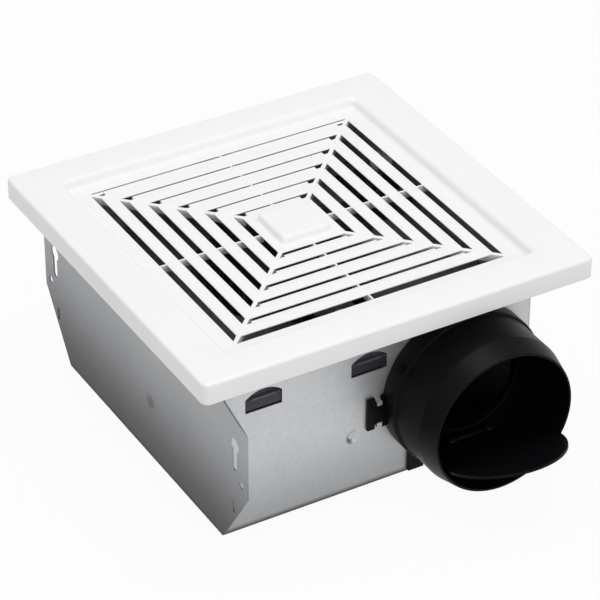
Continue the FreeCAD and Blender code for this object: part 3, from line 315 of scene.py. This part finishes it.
def skin(points, wrap=True):
    """The faces of a grid that is joined round along its second side, and along its first side is joined
    round too or shut by a flat cap at each end. The sign of the volume inside turns them outward."""
    rows, columns = points.shape[:2]
    row = np.arange(rows if wrap else rows - 1)[:, None]
    column = np.arange(columns)
    steps = ((0, 0), (0, 1), (1, 1), (1, 0))
    corners = [((row + down) % rows) * columns + (column + on) % columns for down, on in steps]
    flat = points.reshape(-1, 3)
    rings = [np.stack(corners, -1).reshape(-1, 4)]
    if not wrap:
        rings += [column[None, ::-1], (column + (rows - 1) * columns)[None]]
    volume = 0.0
    for ring in rings:
        fan = flat[ring] - flat.mean(0)
        volume += (fan[:, :1] * np.cross(fan[:, 1:-1], fan[:, 2:])).sum()
    turned_out = 1 if volume > 0 else -1
    return flat, [face for ring in rings for face in ring[:, ::turned_out].tolist()]


def square_rings(rows, at=(0.0, 0.0), steps=4):
    """Rounded rectangles, one to a row (half width, half depth, corner radius, height): a point is its
    corner's centre and the corner radius along the angle."""
    half_x, half_y, radius, height = np.asarray(rows, float).T[..., None]
    quarter = np.repeat(np.arange(4), steps + 1)
    angle = (quarter + np.tile(np.linspace(0, 1, steps + 1), 4)) * (math.pi / 2)
    sign_x, sign_y = np.array([1, -1, -1, 1])[quarter], np.array([1, 1, -1, -1])[quarter]
    x = at[0] + sign_x * (half_x - radius) + radius * np.cos(angle)
    y = at[1] + sign_y * (half_y - radius) + radius * np.sin(angle)
    return np.stack([x, y, np.broadcast_to(height, x.shape)], -1)


def turned(profile, origin, along, across, sides=96):
    """A profile (distance along an axis, radius) carried round that axis; rows may differ in origin."""
    profile = np.asarray(profile, float)
    angle = np.arange(sides) * (2 * math.pi / sides)
    spokes = np.cos(angle)[:, None] * across + np.sin(angle)[:, None] * np.cross(along, across)
    origin = np.broadcast_to(np.asarray(origin, float), (len(profile), 3))[:, None]
    return origin + profile[:, :1, None] * along + profile[:, 1:, None] * spokes


def prism(outline, origin, across, up, depth):
    """A flat outline (p, q) along two directions, drawn out square to both."""
    outline = np.asarray(outline, float)
    face = np.asarray(origin, float) + outline[:, :1] * across + outline[:, 1:] * up
    return np.stack([face, face + np.cross(across, up) * depth])


def tube(path, normals, binormals, radius, sides=12):
    """A round wire: at each point of a path, a circle on that point's two cross directions."""
    angle = np.arange(sides) * (2 * math.pi / sides)
    ring = np.cos(angle)[:, None] * normals[:, None] + np.sin(angle)[:, None] * binormals[:, None]
    return path[:, None] + radius * ring


def piece(name, skins, body, node, slot, bevel=0.0):
    """One object from several closed skins in millimetres: shaded smooth up to the crease angle, its
    edges bevelled where asked, in its slot's finish, riding on a body, in place of any CAD node named."""
    starts = np.cumsum([0] + [len(points) for points, faces in skins])
    faces = []
    for (points, listed), start in zip(skins, starts):
        faces += [[corner + start for corner in face] for face in listed]
    mesh = bpy.data.meshes.new(name)
    mesh.from_pydata(np.concatenate([points for points, listed in skins]) / MM_IN_METRE, [], faces)
    mesh.polygons.foreach_set("use_smooth", np.ones(len(mesh.polygons), bool))
    mesh.set_sharp_from_angle(angle=CREASE)
    dress(mesh, FINISHES[slot])
    made = bpy.data.objects.new(name, mesh)
    bpy.context.scene.collection.objects.link(made)
    if bevel:
        soften(made, bevel)
    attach(made, body)
    if node:
        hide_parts(node)
    return made


def soften(made, width):
    """Rounds every edge sharper than 30 degrees by a width in millimetres."""
    edge = made.modifiers.new("soft edges", "BEVEL")
    edge.width = width / MM_IN_METRE
    edge.segments = 2
    edge.limit_method = "ANGLE"
    edge.angle_limit = BEVELLED
    edge.use_clamp_overlap = True
    edge.harden_normals = True


# Cover: half widths, heights and walls in millimetres

RIM_HALF, RIM_HALF_DEEP, RIM_TOP = node_box("grille")[1]
RIM_LOW = millimetres(MOUNTS["ceiling_rim"]["pos_m"])[2]
WALL, RECESS = 2.4, 5.4
PANEL_TOP = RIM_TOP - RECESS
PANEL_LOW = PANEL_TOP - WALL
RECESS_FOOT, RECESS_HEAD = 94.0, 95.6
UNDER_FOOT, UNDER_HEAD = 96.4, 97.5
FOOT_ROUND, HEAD_ROUND, RIM_ROUND, RIM_EDGE, INSIDE_ROUND, UNDER_FOOT_ROUND = 2.4, 3.2, 1.8, 0.4, 0.8, 0.6
# Half widths of the border, and the corner radius at each; PAD_AT and PAD_CORNER are the pad's
BORDER_AT, BORDER_CORNER = (85.0, 92.0, 97.0, 113.0, RIM_HALF), (0.4, 2.5, 4.0, 0.6, 4.0)
DEEPER, DEEPER_FROM, DEEPER_OVER = RIM_HALF_DEEP - RIM_HALF, 99.0, 13.0
PITCH, SLOT, RINGS = 11.7, 4.0, range(2, 8)
SLOT_EDGE, SLOT_WIDER = PITCH * RINGS[-1] + SLOT / 2, 1.2
LAND, EDGE, UNDERCUT, UNDER_ROUND = 0.6, 0.35, 2.0, 0.3
BAR_CORNER = (0.3, 1.0)
PAD_EDGE = PITCH * RINGS[0] - SLOT / 2
PAD_HIGH, PAD_HALF, PAD_FOOT, PAD_CAP, PAD_ROUND, PAD_FOOT_ROUND = 4.2, 14.75, 15.95, 3.0, 2.0, 1.2
PAD_AT, PAD_CORNER = (PAD_CAP, 12.0, 16.0, PAD_EDGE), (0.5, 2.0, 3.0, 1.0)
RIB_DEEP, RIB_SUNK, RIB_HALF, MITRE_HALF, RIB_LAP = 5.0, 0.12, 0.5, 1.2, 0.5
RIB_ROUND, RIB_EDGE = 0.2, 0.1
BLADE, BLADE_ROOT, BLADE_LOW, BLADE_SET_BACK = 0.8, 1.2, 0.8, 0.1
# Each blade's side, how far it ends short of the slot's corners, its reach and its drop
FAR_BLADE, NEAR_BLADE = (-1, 4.0, 3.0, 0.4), (1, 1.5, 2.2, 0.75)
# The rests stand over the middle of the housing's sheet edges
END_LOW, END_HIGH = node_box("end_panel")
REST_X, REST_Y = END_HIGH[:2] - (END_HIGH[1] - END_LOW[1]) / 2
REST_LONG, REST_HALF, REST_GAP, REST_ROUND = 11.0, 1.1, 0.3, 0.3
REST_LOW = RIM_LOW + REST_GAP
SUNK, PLAY, POST_HALF, POST_ROUND, PEG_ROUND, PEG_CAP = 0.4, 0.5, 1.2, 0.4, 0.6, 0.5


def cover_rows(profile, corner_at, corner_radius, wider=0.0):
    """Rows for square_rings from a profile (half width, height). The border grows deeper than wide
    outwards, its slot's edge may stand further out across X, and the corners follow the half width."""
    half, height = profile.T
    deeper = DEEPER * np.clip((half - DEEPER_FROM) / DEEPER_OVER, 0, 1)
    wider = wider * np.clip((RECESS_FOOT - half) / (RECESS_FOOT - SLOT_EDGE - UNDERCUT), 0, 1)
    return np.stack([half + wider, half + deeper, np.interp(half, corner_at, corner_radius), height], 1)


def cover_border():
    """The rim, the recess's wall and the panel's outer band: one section carried round the square."""
    inside, under = RIM_HALF - WALL, RIM_TOP - WALL
    section = filleted([
        (SLOT_EDGE, PANEL_TOP, EDGE), (RECESS_FOOT, PANEL_TOP, FOOT_ROUND),
        (RECESS_HEAD, RIM_TOP, HEAD_ROUND), (RIM_HALF, RIM_TOP, RIM_ROUND), (RIM_HALF, RIM_LOW, RIM_EDGE),
        (inside, RIM_LOW, RIM_EDGE), (inside, under, INSIDE_ROUND), (UNDER_HEAD, under, INSIDE_ROUND),
        (UNDER_FOOT, PANEL_LOW, UNDER_FOOT_ROUND),
        (SLOT_EDGE + UNDERCUT, PANEL_LOW, UNDER_ROUND), (SLOT_EDGE, PANEL_TOP - LAND, UNDER_ROUND)], steps=5)
    rows = cover_rows(section, BORDER_AT, BORDER_CORNER, SLOT_WIDER)
    return skin(square_rings(rows, steps=6))


def cover_bars():
    """The square bars between the slots: a land and undercut sides, carried round the square."""
    made = []
    for ring in RINGS[:-1]:
        inner, outer = PITCH * ring + SLOT / 2, PITCH * (ring + 1) - SLOT / 2
        section = filleted([
            (inner, PANEL_TOP, EDGE), (outer, PANEL_TOP, EDGE), (outer, PANEL_TOP - LAND, UNDER_ROUND),
            (outer - UNDERCUT, PANEL_LOW, UNDER_ROUND), (inner + UNDERCUT, PANEL_LOW, UNDER_ROUND),
            (inner, PANEL_TOP - LAND, UNDER_ROUND)])
        made.append(skin(square_rings(cover_rows(section, (inner, outer), BAR_CORNER))))
    return made


def cover_pad():
    """The raised pad: a line from its cap down its side and back below, carried round the square."""
    high = PANEL_TOP + PAD_HIGH
    line = filleted([
        (PAD_CAP, high, 0), (PAD_HALF, high, PAD_ROUND), (PAD_FOOT, PANEL_TOP, PAD_FOOT_ROUND),
        (PAD_EDGE, PANEL_TOP, EDGE), (PAD_EDGE, PANEL_TOP - LAND, UNDER_ROUND),
        (PAD_EDGE - UNDERCUT, PANEL_LOW, UNDER_ROUND), (PAD_CAP, PANEL_LOW, 0)], steps=5, closed=False)
    return skin(square_rings(cover_rows(line, PAD_AT, PAD_CORNER)), wrap=False)


def cover_ribs():
    """Eight stiffening ribs that carry the bars, from the pad to the border through the corners and the
    middles of the sides: a section with rounded top edges carried straight out."""
    made = []
    for turn in range(8):
        half, stretch = (RIB_HALF, 1.0) if turn % 2 == 0 else (MITRE_HALF, math.sqrt(2.0))
        section = filleted([
            (-half, -RIB_SUNK, RIB_ROUND), (half, -RIB_SUNK, RIB_ROUND), (half, -RIB_DEEP, RIB_EDGE),
            (-half, -RIB_DEEP, RIB_EDGE)], steps=3)
        angle = turn * math.pi / 4
        out = np.array([math.cos(angle), math.sin(angle), 0.0])
        reach = np.array([PITCH * RINGS[0] - SLOT, SLOT_EDGE + UNDERCUT + RIB_LAP]) * stretch
        across = section[:, :1] * np.cross(AXIS_Z, out) + (PANEL_TOP + section[:, 1:]) * AXIS_Z
        made.append(skin(reach[:, None, None] * out + across, wrap=False))
    return made


def cover_blades():
    """Sloping blades under the slots that run along Y: a thin section that starts below a slot's duct-
    side edge and falls away under its other edge, carried along the slot and ended short of its corners.
    The outermost slot on the duct's side has none."""
    made = []
    for ring in RINGS:
        wider = SLOT_WIDER if ring == RINGS[-1] else 0.0
        for side, short, reach, drop in (FAR_BLADE, NEAR_BLADE):
            if (side, ring) == (1, RINGS[-1]):
                continue
            half = PITCH * ring - SLOT / 2 - short
            root = side * PITCH * ring + SLOT / 2
            tip = root - (reach + wider)
            section = [(root + BLADE_ROOT, -BLADE_LOW), (root + BLADE_SET_BACK, -LAND / 2), (tip, -drop),
                       (tip, -drop - BLADE), (root + BLADE_ROOT, -BLADE_LOW - BLADE)]
            made.append(skin(prism(section, (0, half, PANEL_TOP), AXIS_X, AXIS_Z, 2 * half), wrap=False))
    return made


def rest_ribs(side):
    """Two ribs that rest on the housing's edge: rectangles that widen over their lower end."""
    made = []
    for at, half, top in (((side * REST_X, 0), (REST_HALF, REST_LONG), PANEL_LOW + SUNK),
                          ((0, side * REST_Y), (REST_LONG, REST_HALF), RIM_TOP - WALL + SUNK)):
        levels = ((REST_ROUND, REST_LOW), (0, REST_LOW + REST_ROUND), (0, top))
        rows = [(half[0] - in_by, half[1] - in_by, REST_ROUND, z) for in_by, z in levels]
        made.append(skin(square_rings(rows, at), wrap=False))
    return made


def spring_post(side):
    """A post under the panel, and on it the round peg that holds a spring: rectangles that widen over the
    post's lower end, and a profile turned about the peg's axis."""
    x = -side * SPRING_X
    room = coil_span() / 2 + WIRE + PLAY
    peg = COIL - WIRE - PLAY
    levels = ((POST_ROUND, SPRING_Z), (0, SPRING_Z + POST_ROUND), (0, PANEL_LOW + SUNK))
    rows = [(peg - in_by, POST_HALF - in_by, POST_ROUND, z) for in_by, z in levels]
    post = square_rings(rows, (x, side * (SPRING_Y + room + POST_HALF)))
    length = 2 * room + 2 * POST_HALF
    corners = [(0, PEG_CAP, 0), (0, peg, PEG_ROUND), (length, peg, PEG_ROUND), (length, PEG_CAP, 0)]
    profile = filleted(corners, steps=3, closed=False)
    origin = (x, side * (SPRING_Y + room + 2 * POST_HALF), SPRING_Z)
    peg_rings = turned(profile, origin, -side * AXIS_Y, AXIS_X, sides=40)
    return [skin(post, wrap=False), skin(peg_rings, wrap=False)]


def cover():
    """The moulded cover: border, bars, pad, ribs and blades, and what stands on its underside."""
    skins = [cover_border()] + cover_bars() + [cover_pad()] + cover_ribs() + cover_blades()
    for side in (-1, 1):
        skins += rest_ribs(side) + spring_post(side)
    return piece("slotted_cover", skins, "cover", "grille", "white_plastic")


# Cover springs

SPRING_X, SPRING_Y, SPRING_DROP = 52.0, 87.1, 11.0
SPRING_Z = PANEL_LOW - SPRING_DROP
WIRE, COIL, COIL_PITCH, EASE, LEAN = 0.7, 5.5, 2.8, 0.5, 8.0
LEG, LEG_START, LEG_STEPS, COIL_POINTS = 70.0, 4.0, 6, 120
TURNS = 2.5 - LEAN / 180.0


def coil_rise(turn):
    """How far the wire has moved along the coil's axis: level at both ends, with a steady pitch between."""
    left = TURNS - turn
    steady = COIL_PITCH * (turn - EASE / 2)
    start = COIL_PITCH * turn ** 2 / (2 * EASE)
    end = COIL_PITCH * (TURNS - EASE) - COIL_PITCH * left ** 2 / (2 * EASE)
    return np.where(turn < EASE, start, np.where(left < EASE, end, steady))


def coil_span():
    """How far the coil reaches along its axis."""
    return float(coil_rise(np.array(TURNS)))


def cover_spring(name, node, side):
    """A torsion spring: a wire up one leg, round its coil about the Y axis and down the other leg."""
    turn = np.linspace(0, TURNS, COIL_POINTS)
    angle = math.radians(LEAN) + 2 * math.pi * turn
    spoke = np.stack([np.cos(angle), 0 * angle, np.sin(angle)], 1)
    heading = np.stack([-np.sin(angle), 0 * angle, np.cos(angle)], 1)
    path = COIL * spoke + (coil_rise(turn) - coil_span() / 2)[:, None] * AXIS_Y
    drop = np.linspace(LEG, LEG_START, LEG_STEPS)[:, None]
    path = np.concatenate([path[:1] - drop * heading[:1], path, path[-1:] + drop[::-1] * heading[-1:]])
    first, last = (np.repeat(end, LEG_STEPS, 0) for end in (spoke[:1], spoke[-1:]))
    spoke = np.concatenate([first, spoke, last])
    seat = np.array([-side * SPRING_X, side * SPRING_Y, SPRING_Z])
    wire = tube(seat + path, spoke, np.broadcast_to(AXIS_Y, spoke.shape), WIRE)
    return piece(name, [skin(wire, wrap=False)], "cover", node, "spring_steel")


# Duct collar and damper

COLLAR_LOW, COLLAR_HIGH = node_box("duct_connector")
FACE, TAB_START, FOOT_LOW = COLLAR_LOW
MOUTH = COLLAR_HIGH[0]
TUBE_MIDDLE, DUCT_Y, DUCT_Z = millimetres(MOUNTS["duct_collar"]["pos_m"])
TUBE_R, TUBE_LONG = (MOUNTS["duct_collar"]["dims"][size] for size in ("r_mm", "length_mm"))
BASE_END, TUBE_END = TUBE_MIDDLE - TUBE_LONG / 2, TUBE_MIDDLE + TUBE_LONG / 2
BASE_R, MOUTH_R, BORE, STEP, BACK_R = 47.8, 43.2, 41.8, 101.0, 40.0
COLLAR_ROUND, BASE_ROUND, TAPER_ROUND, BACK_ROUND, STEP_ROUND = 0.6, 1.0, 5.0, 0.4, 0.1
SEAT_BACK, SEAT_FRONT, SEAT_R, SEAT_LIFT = 100.0, 102.0, 42.0, 5.5
COAMING, COAMING_R, COAMING_HOLE = 105.4, 32.5, 30.5
COAMING_FOOT, COAMING_EDGE, HOLE_EDGE = 0.5, 0.3, 0.4
NECK_START, NECK_END, TAB_END = -3.2, 1.0, 9.0
TAB_LOW, TAB_HIGH, NECK_CUT, TAB_SHEET = 37.7, 58.3, 3.2, 2.0
FOOT_START, FOOT_END, FOOT_HIGH = 19.0, 29.0, 16.6
HINGE_X, HINGE_Y, HINGE_Z = millimetres(JOINTS["damper_swing"]["pos_m"])
LUG_R, LUG_SHEET, LUG_GAP, LUG_SUNK, LUG_POINTS = 3.5, 4.0, 0.4, 1.0, 17
FLAP_TIP, FLAP_MIDDLE, FLAP_R, FLAP_START, FLAP_SHEET = math.radians(18.0), 36.0, 35.5, 4.5, 1.6
TONGUE, TONGUE_HALF, BARREL_R, PIN_R, PIN_HALF = 12.0, 9.5, 2.6, 1.5, 13.5
RING_INNER, RING_OUTER, RING_ROOT, RING_CREST, RING_ROUND, RING_EDGE = 20.0, 22.0, -0.6, -2.2, 0.5, 0.1
ROD_CAP, ROD_ROUND, FLAP_POINTS = 0.3, 0.3, 90


def duct_collar():
    """The collar turned about the duct's axis, and its damper seat, a plate with a raised edge round
    a hole that is set off that axis."""
    axis = np.array([0.0, DUCT_Y, DUCT_Z])
    shell = filleted([
        (FACE, BASE_R, COLLAR_ROUND), (BASE_END, BASE_R, BASE_ROUND), (BASE_END, TUBE_R, COLLAR_ROUND),
        (TUBE_END, TUBE_R, TAPER_ROUND), (MOUTH, MOUTH_R, COLLAR_ROUND), (MOUTH, BORE, COLLAR_ROUND),
        (STEP, BORE, STEP_ROUND), (STEP, BACK_R, STEP_ROUND), (FACE, BACK_R, BACK_ROUND)], steps=5)
    seat = np.array([
        (SEAT_BACK, SEAT_R, 0.0), (SEAT_FRONT, SEAT_R, 0.0),
        (SEAT_FRONT, COAMING_R + COAMING_FOOT, SEAT_LIFT), (SEAT_FRONT + COAMING_FOOT, COAMING_R, SEAT_LIFT),
        (COAMING - COAMING_EDGE, COAMING_R, SEAT_LIFT), (COAMING, COAMING_R - COAMING_EDGE, SEAT_LIFT),
        (COAMING, COAMING_HOLE + COAMING_EDGE, SEAT_LIFT), (COAMING - COAMING_EDGE, COAMING_HOLE, SEAT_LIFT),
        (SEAT_BACK + HOLE_EDGE, COAMING_HOLE, SEAT_LIFT), (SEAT_BACK, COAMING_HOLE + HOLE_EDGE, SEAT_LIFT)])
    skins = [skin(turned(shell, axis, AXIS_X, AXIS_Z, sides=160)),
             skin(turned(seat[:, :2], axis + seat[:, 2:] * AXIS_Z, AXIS_X, AXIS_Z, sides=120))]
    return piece("duct_collar", skins, "housing", "duct_connector", "black_plastic")


def collar_fittings():
    """The tab that the housing's hooks hold, the foot, and the two lugs that carry the damper's pins:
    flat outlines drawn out to their thickness."""
    low_cut, high_cut = TAB_LOW + NECK_CUT, TAB_HIGH - NECK_CUT
    tab = [(TAB_START, TAB_LOW), (NECK_START, TAB_LOW), (NECK_START, low_cut), (NECK_END, low_cut),
           (NECK_END, TAB_LOW), (TAB_END, TAB_LOW), (TAB_END, TAB_HIGH), (NECK_END, TAB_HIGH),
           (NECK_END, high_cut), (NECK_START, high_cut), (NECK_START, TAB_HIGH), (TAB_START, TAB_HIGH)]
    foot = [(FOOT_START, FOOT_LOW), (FOOT_END, FOOT_LOW), (FOOT_END, FOOT_HIGH), (FOOT_START, FOOT_HIGH)]
    skins = [skin(prism(outline, (FACE, 0, 0), AXIS_Y, AXIS_Z, TAB_SHEET), wrap=False)
             for outline in (tab, foot)]
    round_top = np.linspace(0, math.pi, LUG_POINTS)
    lug_foot = DUCT_Z - BORE - LUG_SUNK - HINGE_Z
    lug = np.concatenate([[(-LUG_R, lug_foot), (LUG_R, lug_foot)],
                          LUG_R * np.stack([np.cos(round_top), np.sin(round_top)], 1)])
    for y in (HINGE_Y + TONGUE_HALF + LUG_SHEET + LUG_GAP, HINGE_Y - TONGUE_HALF - LUG_GAP):
        skins.append(skin(prism(lug, (HINGE_X, y, HINGE_Z), AXIS_X, AXIS_Z, LUG_SHEET), wrap=False))
    return piece("collar_fittings", skins, "housing", "duct_connector", "black_plastic", bevel=0.35)


def damper():
    """The round flap, tipped up by the angle at which it lies open: a disc and a tongue drawn out to
    their thickness, a rib turned about the disc's middle, and a barrel and pin turned about the hinge."""
    along = np.array([math.cos(FLAP_TIP), 0.0, math.sin(FLAP_TIP)])
    up = np.array([-math.sin(FLAP_TIP), 0.0, math.cos(FLAP_TIP)])
    hinge = np.array([HINGE_X, HINGE_Y, HINGE_Z])
    far = math.acos((FLAP_START - FLAP_MIDDLE) / FLAP_R)
    angle = np.linspace(-far, far, FLAP_POINTS)
    disc = np.stack([FLAP_MIDDLE + FLAP_R * np.cos(angle), FLAP_R * np.sin(angle)], 1)
    tongue = [(0.0, -TONGUE_HALF), (TONGUE, -TONGUE_HALF), (TONGUE, TONGUE_HALF), (0.0, TONGUE_HALF)]
    low = hinge - FLAP_SHEET / 2 * up
    skins = [skin(prism(outline, low, along, AXIS_Y, FLAP_SHEET), wrap=False) for outline in (disc, tongue)]
    rib = filleted([
        (RING_ROOT, RING_OUTER, RING_EDGE), (RING_CREST, RING_OUTER, RING_ROUND),
        (RING_CREST, RING_INNER, RING_ROUND), (RING_ROOT, RING_INNER, RING_EDGE)], steps=3)
    skins.append(skin(turned(rib, hinge + FLAP_MIDDLE * along, up, along, sides=90)))
    for radius, half in ((BARREL_R, TONGUE_HALF), (PIN_R, PIN_HALF)):
        corners = [(-half, ROD_CAP, 0), (-half, radius, ROD_ROUND), (half, radius, ROD_ROUND),
                   (half, ROD_CAP, 0)]
        rod = filleted(corners, steps=3, closed=False)
        skins.append(skin(turned(rod, hinge, AXIS_Y, AXIS_X, sides=40), wrap=False))
    return piece("damper_disc", skins, "damper", "damper_flap", "black_plastic", bevel=0.3)


# Motor coil

COIL_LOW, COIL_HIGH = node_box("motor_coil")
COIL_MIDDLE = (COIL_LOW + COIL_HIGH) / 2
COIL_LENGTH, COIL_WIDE, COIL_TALL = COIL_HIGH - COIL_LOW
COIL_BEND, COIL_TURNS, COIL_STEPS = 3.0, 28, 5
BLOCK_HALF, BLOCK_IN = 11.4, 5.6


def motor_winding():
    """Wire laid turn by turn: a rounded rectangle walked round and round while it moves along the limb,
    over a block of the layers beneath."""
    pitch = COIL_LENGTH / (COIL_TURNS + 1)
    wire = pitch / 2
    half = np.array([COIL_WIDE, COIL_TALL]) / 2 - wire
    ring = square_rings([(*half, COIL_BEND, 0.0)], steps=COIL_STEPS)[0, :, :2]
    outward = unit(ring - np.clip(ring, COIL_BEND - half, half - COIL_BEND))
    walked = np.linalg.norm(np.roll(ring, -1, 0) - ring, axis=1)
    share = np.concatenate([[0.0], np.cumsum(walked)[:-1]]) / walked.sum()
    along = pitch * (np.arange(COIL_TURNS)[:, None] + share).ravel() + wire - COIL_LENGTH / 2
    path = COIL_MIDDLE + np.column_stack([along, np.tile(ring, (COIL_TURNS, 1))])
    normals = np.column_stack([0 * along, np.tile(outward, (COIL_TURNS, 1))])
    wound = tube(path, normals, np.broadcast_to(AXIS_X, normals.shape), wire, sides=8)
    ends = ((BLOCK_IN, -BLOCK_HALF), (0, -BLOCK_HALF), (0, BLOCK_HALF), (BLOCK_IN, BLOCK_HALF))
    layers = [(*(half - in_by), COIL_BEND, x) for in_by, x in ends]
    block = COIL_MIDDLE + square_rings(layers)[..., [2, 0, 1]]
    return piece("motor_winding", [skin(wound, wrap=False), skin(block)], "housing", "motor_coil", "copper")


# Blower plate's tabs

LIP_MIDDLES, LIP_HALF = (-71.5, -6.3), 10.7
LIP_SET_BACK, LIP_TOP, LIP_LOW, LIP_BACK = 0.4, 83.7, 76.6, 89.0
LIP_FRONT = FACE - LIP_SET_BACK
LIP_SHEET, LIP_FOLD, LIP_BEND, LIP_INSIDE, LIP_ROUND, LIP_EDGE = 0.85, 1.2, 1.2, 0.4, 0.2, 0.05


def plate_lips():
    """The plate's tabs turned down inside the windows: a bent section carried across each tab."""
    section = filleted([
        (LIP_BACK, LIP_TOP, LIP_EDGE), (LIP_FRONT, LIP_TOP, LIP_BEND), (LIP_FRONT, LIP_LOW, LIP_ROUND),
        (LIP_FRONT - LIP_SHEET, LIP_LOW, LIP_ROUND), (LIP_FRONT - LIP_SHEET, LIP_TOP - LIP_FOLD, LIP_INSIDE),
        (LIP_BACK, LIP_TOP - LIP_FOLD, LIP_EDGE)], steps=5)
    skins = [skin(prism(section, (0, middle + LIP_HALF, 0), AXIS_X, AXIS_Z, 2 * LIP_HALF), wrap=False)
             for middle in LIP_MIDDLES]
    made = piece("plate_tab_lips", skins, "housing", None, "inner_steel", bevel=0.15)
    # Painted shade: the tabs take zinc far darker than the inner steel they are made in
    dress(made.data, SHADED_LIP_STEEL)
    return made


cover()
plate_lips()
motor_winding()
cover_spring("left_cover_spring", "left_grille_spring", -1)
cover_spring("right_cover_spring", "right_grille_spring", 1)
duct_collar()
collar_fittings()
damper()


# Sheet edges

SHEET_ROUND, JOINED = 0.25, 0.00001


def soften_sheet(name):
    """Joins a CAD node's loose triangles and rounds its sharp edges, both by modifiers."""
    weld = NODES[name].modifiers.new("joined", "WELD")
    weld.merge_threshold = JOINED
    soften(NODES[name], SHEET_ROUND)


for sheet in ("housing_body", "mounting_panel", "end_panel", "motor_plate"):
    soften_sheet(sheet)


# Studio: metres, watts and degrees

FLOOR_HALF, FLOOR_LOW, FLOOR_GREY, FLOOR_WHITE = 6.0, -0.0004, 0.70, 0.95
SKY = 0.60
LAMPS = {"overhead": {"at": (0.0, 0.0, 1.9), "aim": (0.0, 0.0, 0.1), "width": 1.1, "power": 14.5},
         "right_key": {"at": (1.7, 0.5, 0.7), "aim": (0.0, 0.0, 0.06), "width": 1.0, "power": 4.5},
         "near_fill": {"at": (0.75, -0.75, 0.35), "aim": (0.1, -0.1, 0.05), "width": 0.5, "power": 0.6}}
SENSOR, PICTURE, FOCAL_PIXELS = 36.0, 600.0, 3026.0
AZIMUTH, ELEVATION, DISTANCE = math.radians(59.98), math.radians(34.0), 1.708
AIM_HIGH, AIM_ACROSS, AIM_UP = 0.060, 0.0033, 0.0057


def backdrop_shader(tree, lit, white, white_share):
    """Mixes plain white into a lit surface for what the camera, mirrors and glass see of it."""
    rays = tree.nodes.new("ShaderNodeLightPath")
    seen = rays.outputs["Is Camera Ray"]
    for kind in ("Is Glossy Ray", "Is Transmission Ray"):
        most = tree.nodes.new("ShaderNodeMath")
        most.operation = "MAXIMUM"
        tree.links.new(seen, most.inputs[0])
        tree.links.new(rays.outputs[kind], most.inputs[1])
        seen = most.outputs[0]
    share = tree.nodes.new("ShaderNodeMath")
    share.operation = "MULTIPLY"
    share.inputs[1].default_value = white_share
    tree.links.new(seen, share.inputs[0])
    mix = tree.nodes.new("ShaderNodeMixShader")
    tree.links.new(share.outputs[0], mix.inputs["Fac"])
    tree.links.new(lit, mix.inputs[1])
    tree.links.new(white, mix.inputs[2])
    return mix.outputs["Shader"]


def floor():
    """A wide pale square under the fan, white to the eye, that keeps a soft shadow."""
    corners = [(-FLOOR_HALF, -FLOOR_HALF, FLOOR_LOW), (FLOOR_HALF, -FLOOR_HALF, FLOOR_LOW),
               (FLOOR_HALF, FLOOR_HALF, FLOOR_LOW), (-FLOOR_HALF, FLOOR_HALF, FLOOR_LOW)]
    mesh = bpy.data.meshes.new("floor")
    mesh.from_pydata(corners, [], [(0, 1, 2, 3)])
    made = bpy.data.objects.new("floor", mesh)
    bpy.context.scene.collection.objects.link(made)
    material = bpy.data.materials.new("floor")
    material.use_nodes = True
    tree = material.node_tree
    tree.nodes.clear()
    lit = tree.nodes.new("ShaderNodeBsdfDiffuse")
    lit.inputs["Color"].default_value = (FLOOR_GREY, FLOOR_GREY, FLOOR_GREY, 1.0)
    white = tree.nodes.new("ShaderNodeEmission")
    white.inputs["Strength"].default_value = 1.0
    end = tree.nodes.new("ShaderNodeOutputMaterial")
    shown = backdrop_shader(tree, lit.outputs["BSDF"], white.outputs["Emission"], FLOOR_WHITE)
    tree.links.new(shown, end.inputs["Surface"])
    mesh.materials.append(material)


def sky():
    """Even dim light from all round, and white to the eye."""
    world = bpy.data.worlds.new("studio")
    bpy.context.scene.world = world
    world.use_nodes = True
    tree = world.node_tree
    tree.nodes.clear()
    dim = tree.nodes.new("ShaderNodeBackground")
    dim.inputs["Color"].default_value = (1.0, 1.0, 1.0, 1.0)
    dim.inputs["Strength"].default_value = SKY
    white = tree.nodes.new("ShaderNodeBackground")
    white.inputs["Strength"].default_value = 1.0
    end = tree.nodes.new("ShaderNodeOutputWorld")
    shown = backdrop_shader(tree, dim.outputs["Background"], white.outputs["Background"], 1.0)
    tree.links.new(shown, end.inputs["Surface"])


def lamp(name, at, aim, width, power):
    """A square soft light at a point, turned to another."""
    data = bpy.data.lights.new(name, "AREA")
    data.size = width
    data.energy = power
    made = bpy.data.objects.new(name, data)
    made.location = at
    made.rotation_euler = (Vector(aim) - Vector(at)).to_track_quat("-Z", "Y").to_euler()
    bpy.context.scene.collection.objects.link(made)


def camera():
    """The photo's standpoint: turned round from the joist face and up, its aim moved across and up."""
    level = math.cos(ELEVATION)
    back = Vector((level * math.sin(AZIMUTH), -level * math.cos(AZIMUTH), math.sin(ELEVATION)))
    right = Vector((math.cos(AZIMUTH), math.sin(AZIMUTH), 0.0))
    aim = Vector((0.0, 0.0, AIM_HIGH)) + right * AIM_ACROSS + back.cross(right) * AIM_UP
    data = bpy.data.cameras.new("camera")
    data.sensor_width = SENSOR
    data.lens = FOCAL_PIXELS / PICTURE * SENSOR
    made = bpy.data.objects.new("camera", data)
    made.location = aim + back * DISTANCE
    made.rotation_euler = (-back).to_track_quat("-Z", "Y").to_euler()
    bpy.context.scene.collection.objects.link(made)
    bpy.context.scene.camera = made


floor()
sky()
for name, setting in LAMPS.items():
    lamp(name, **setting)
camera()

view = bpy.context.scene.view_settings
view.view_transform = "Standard"
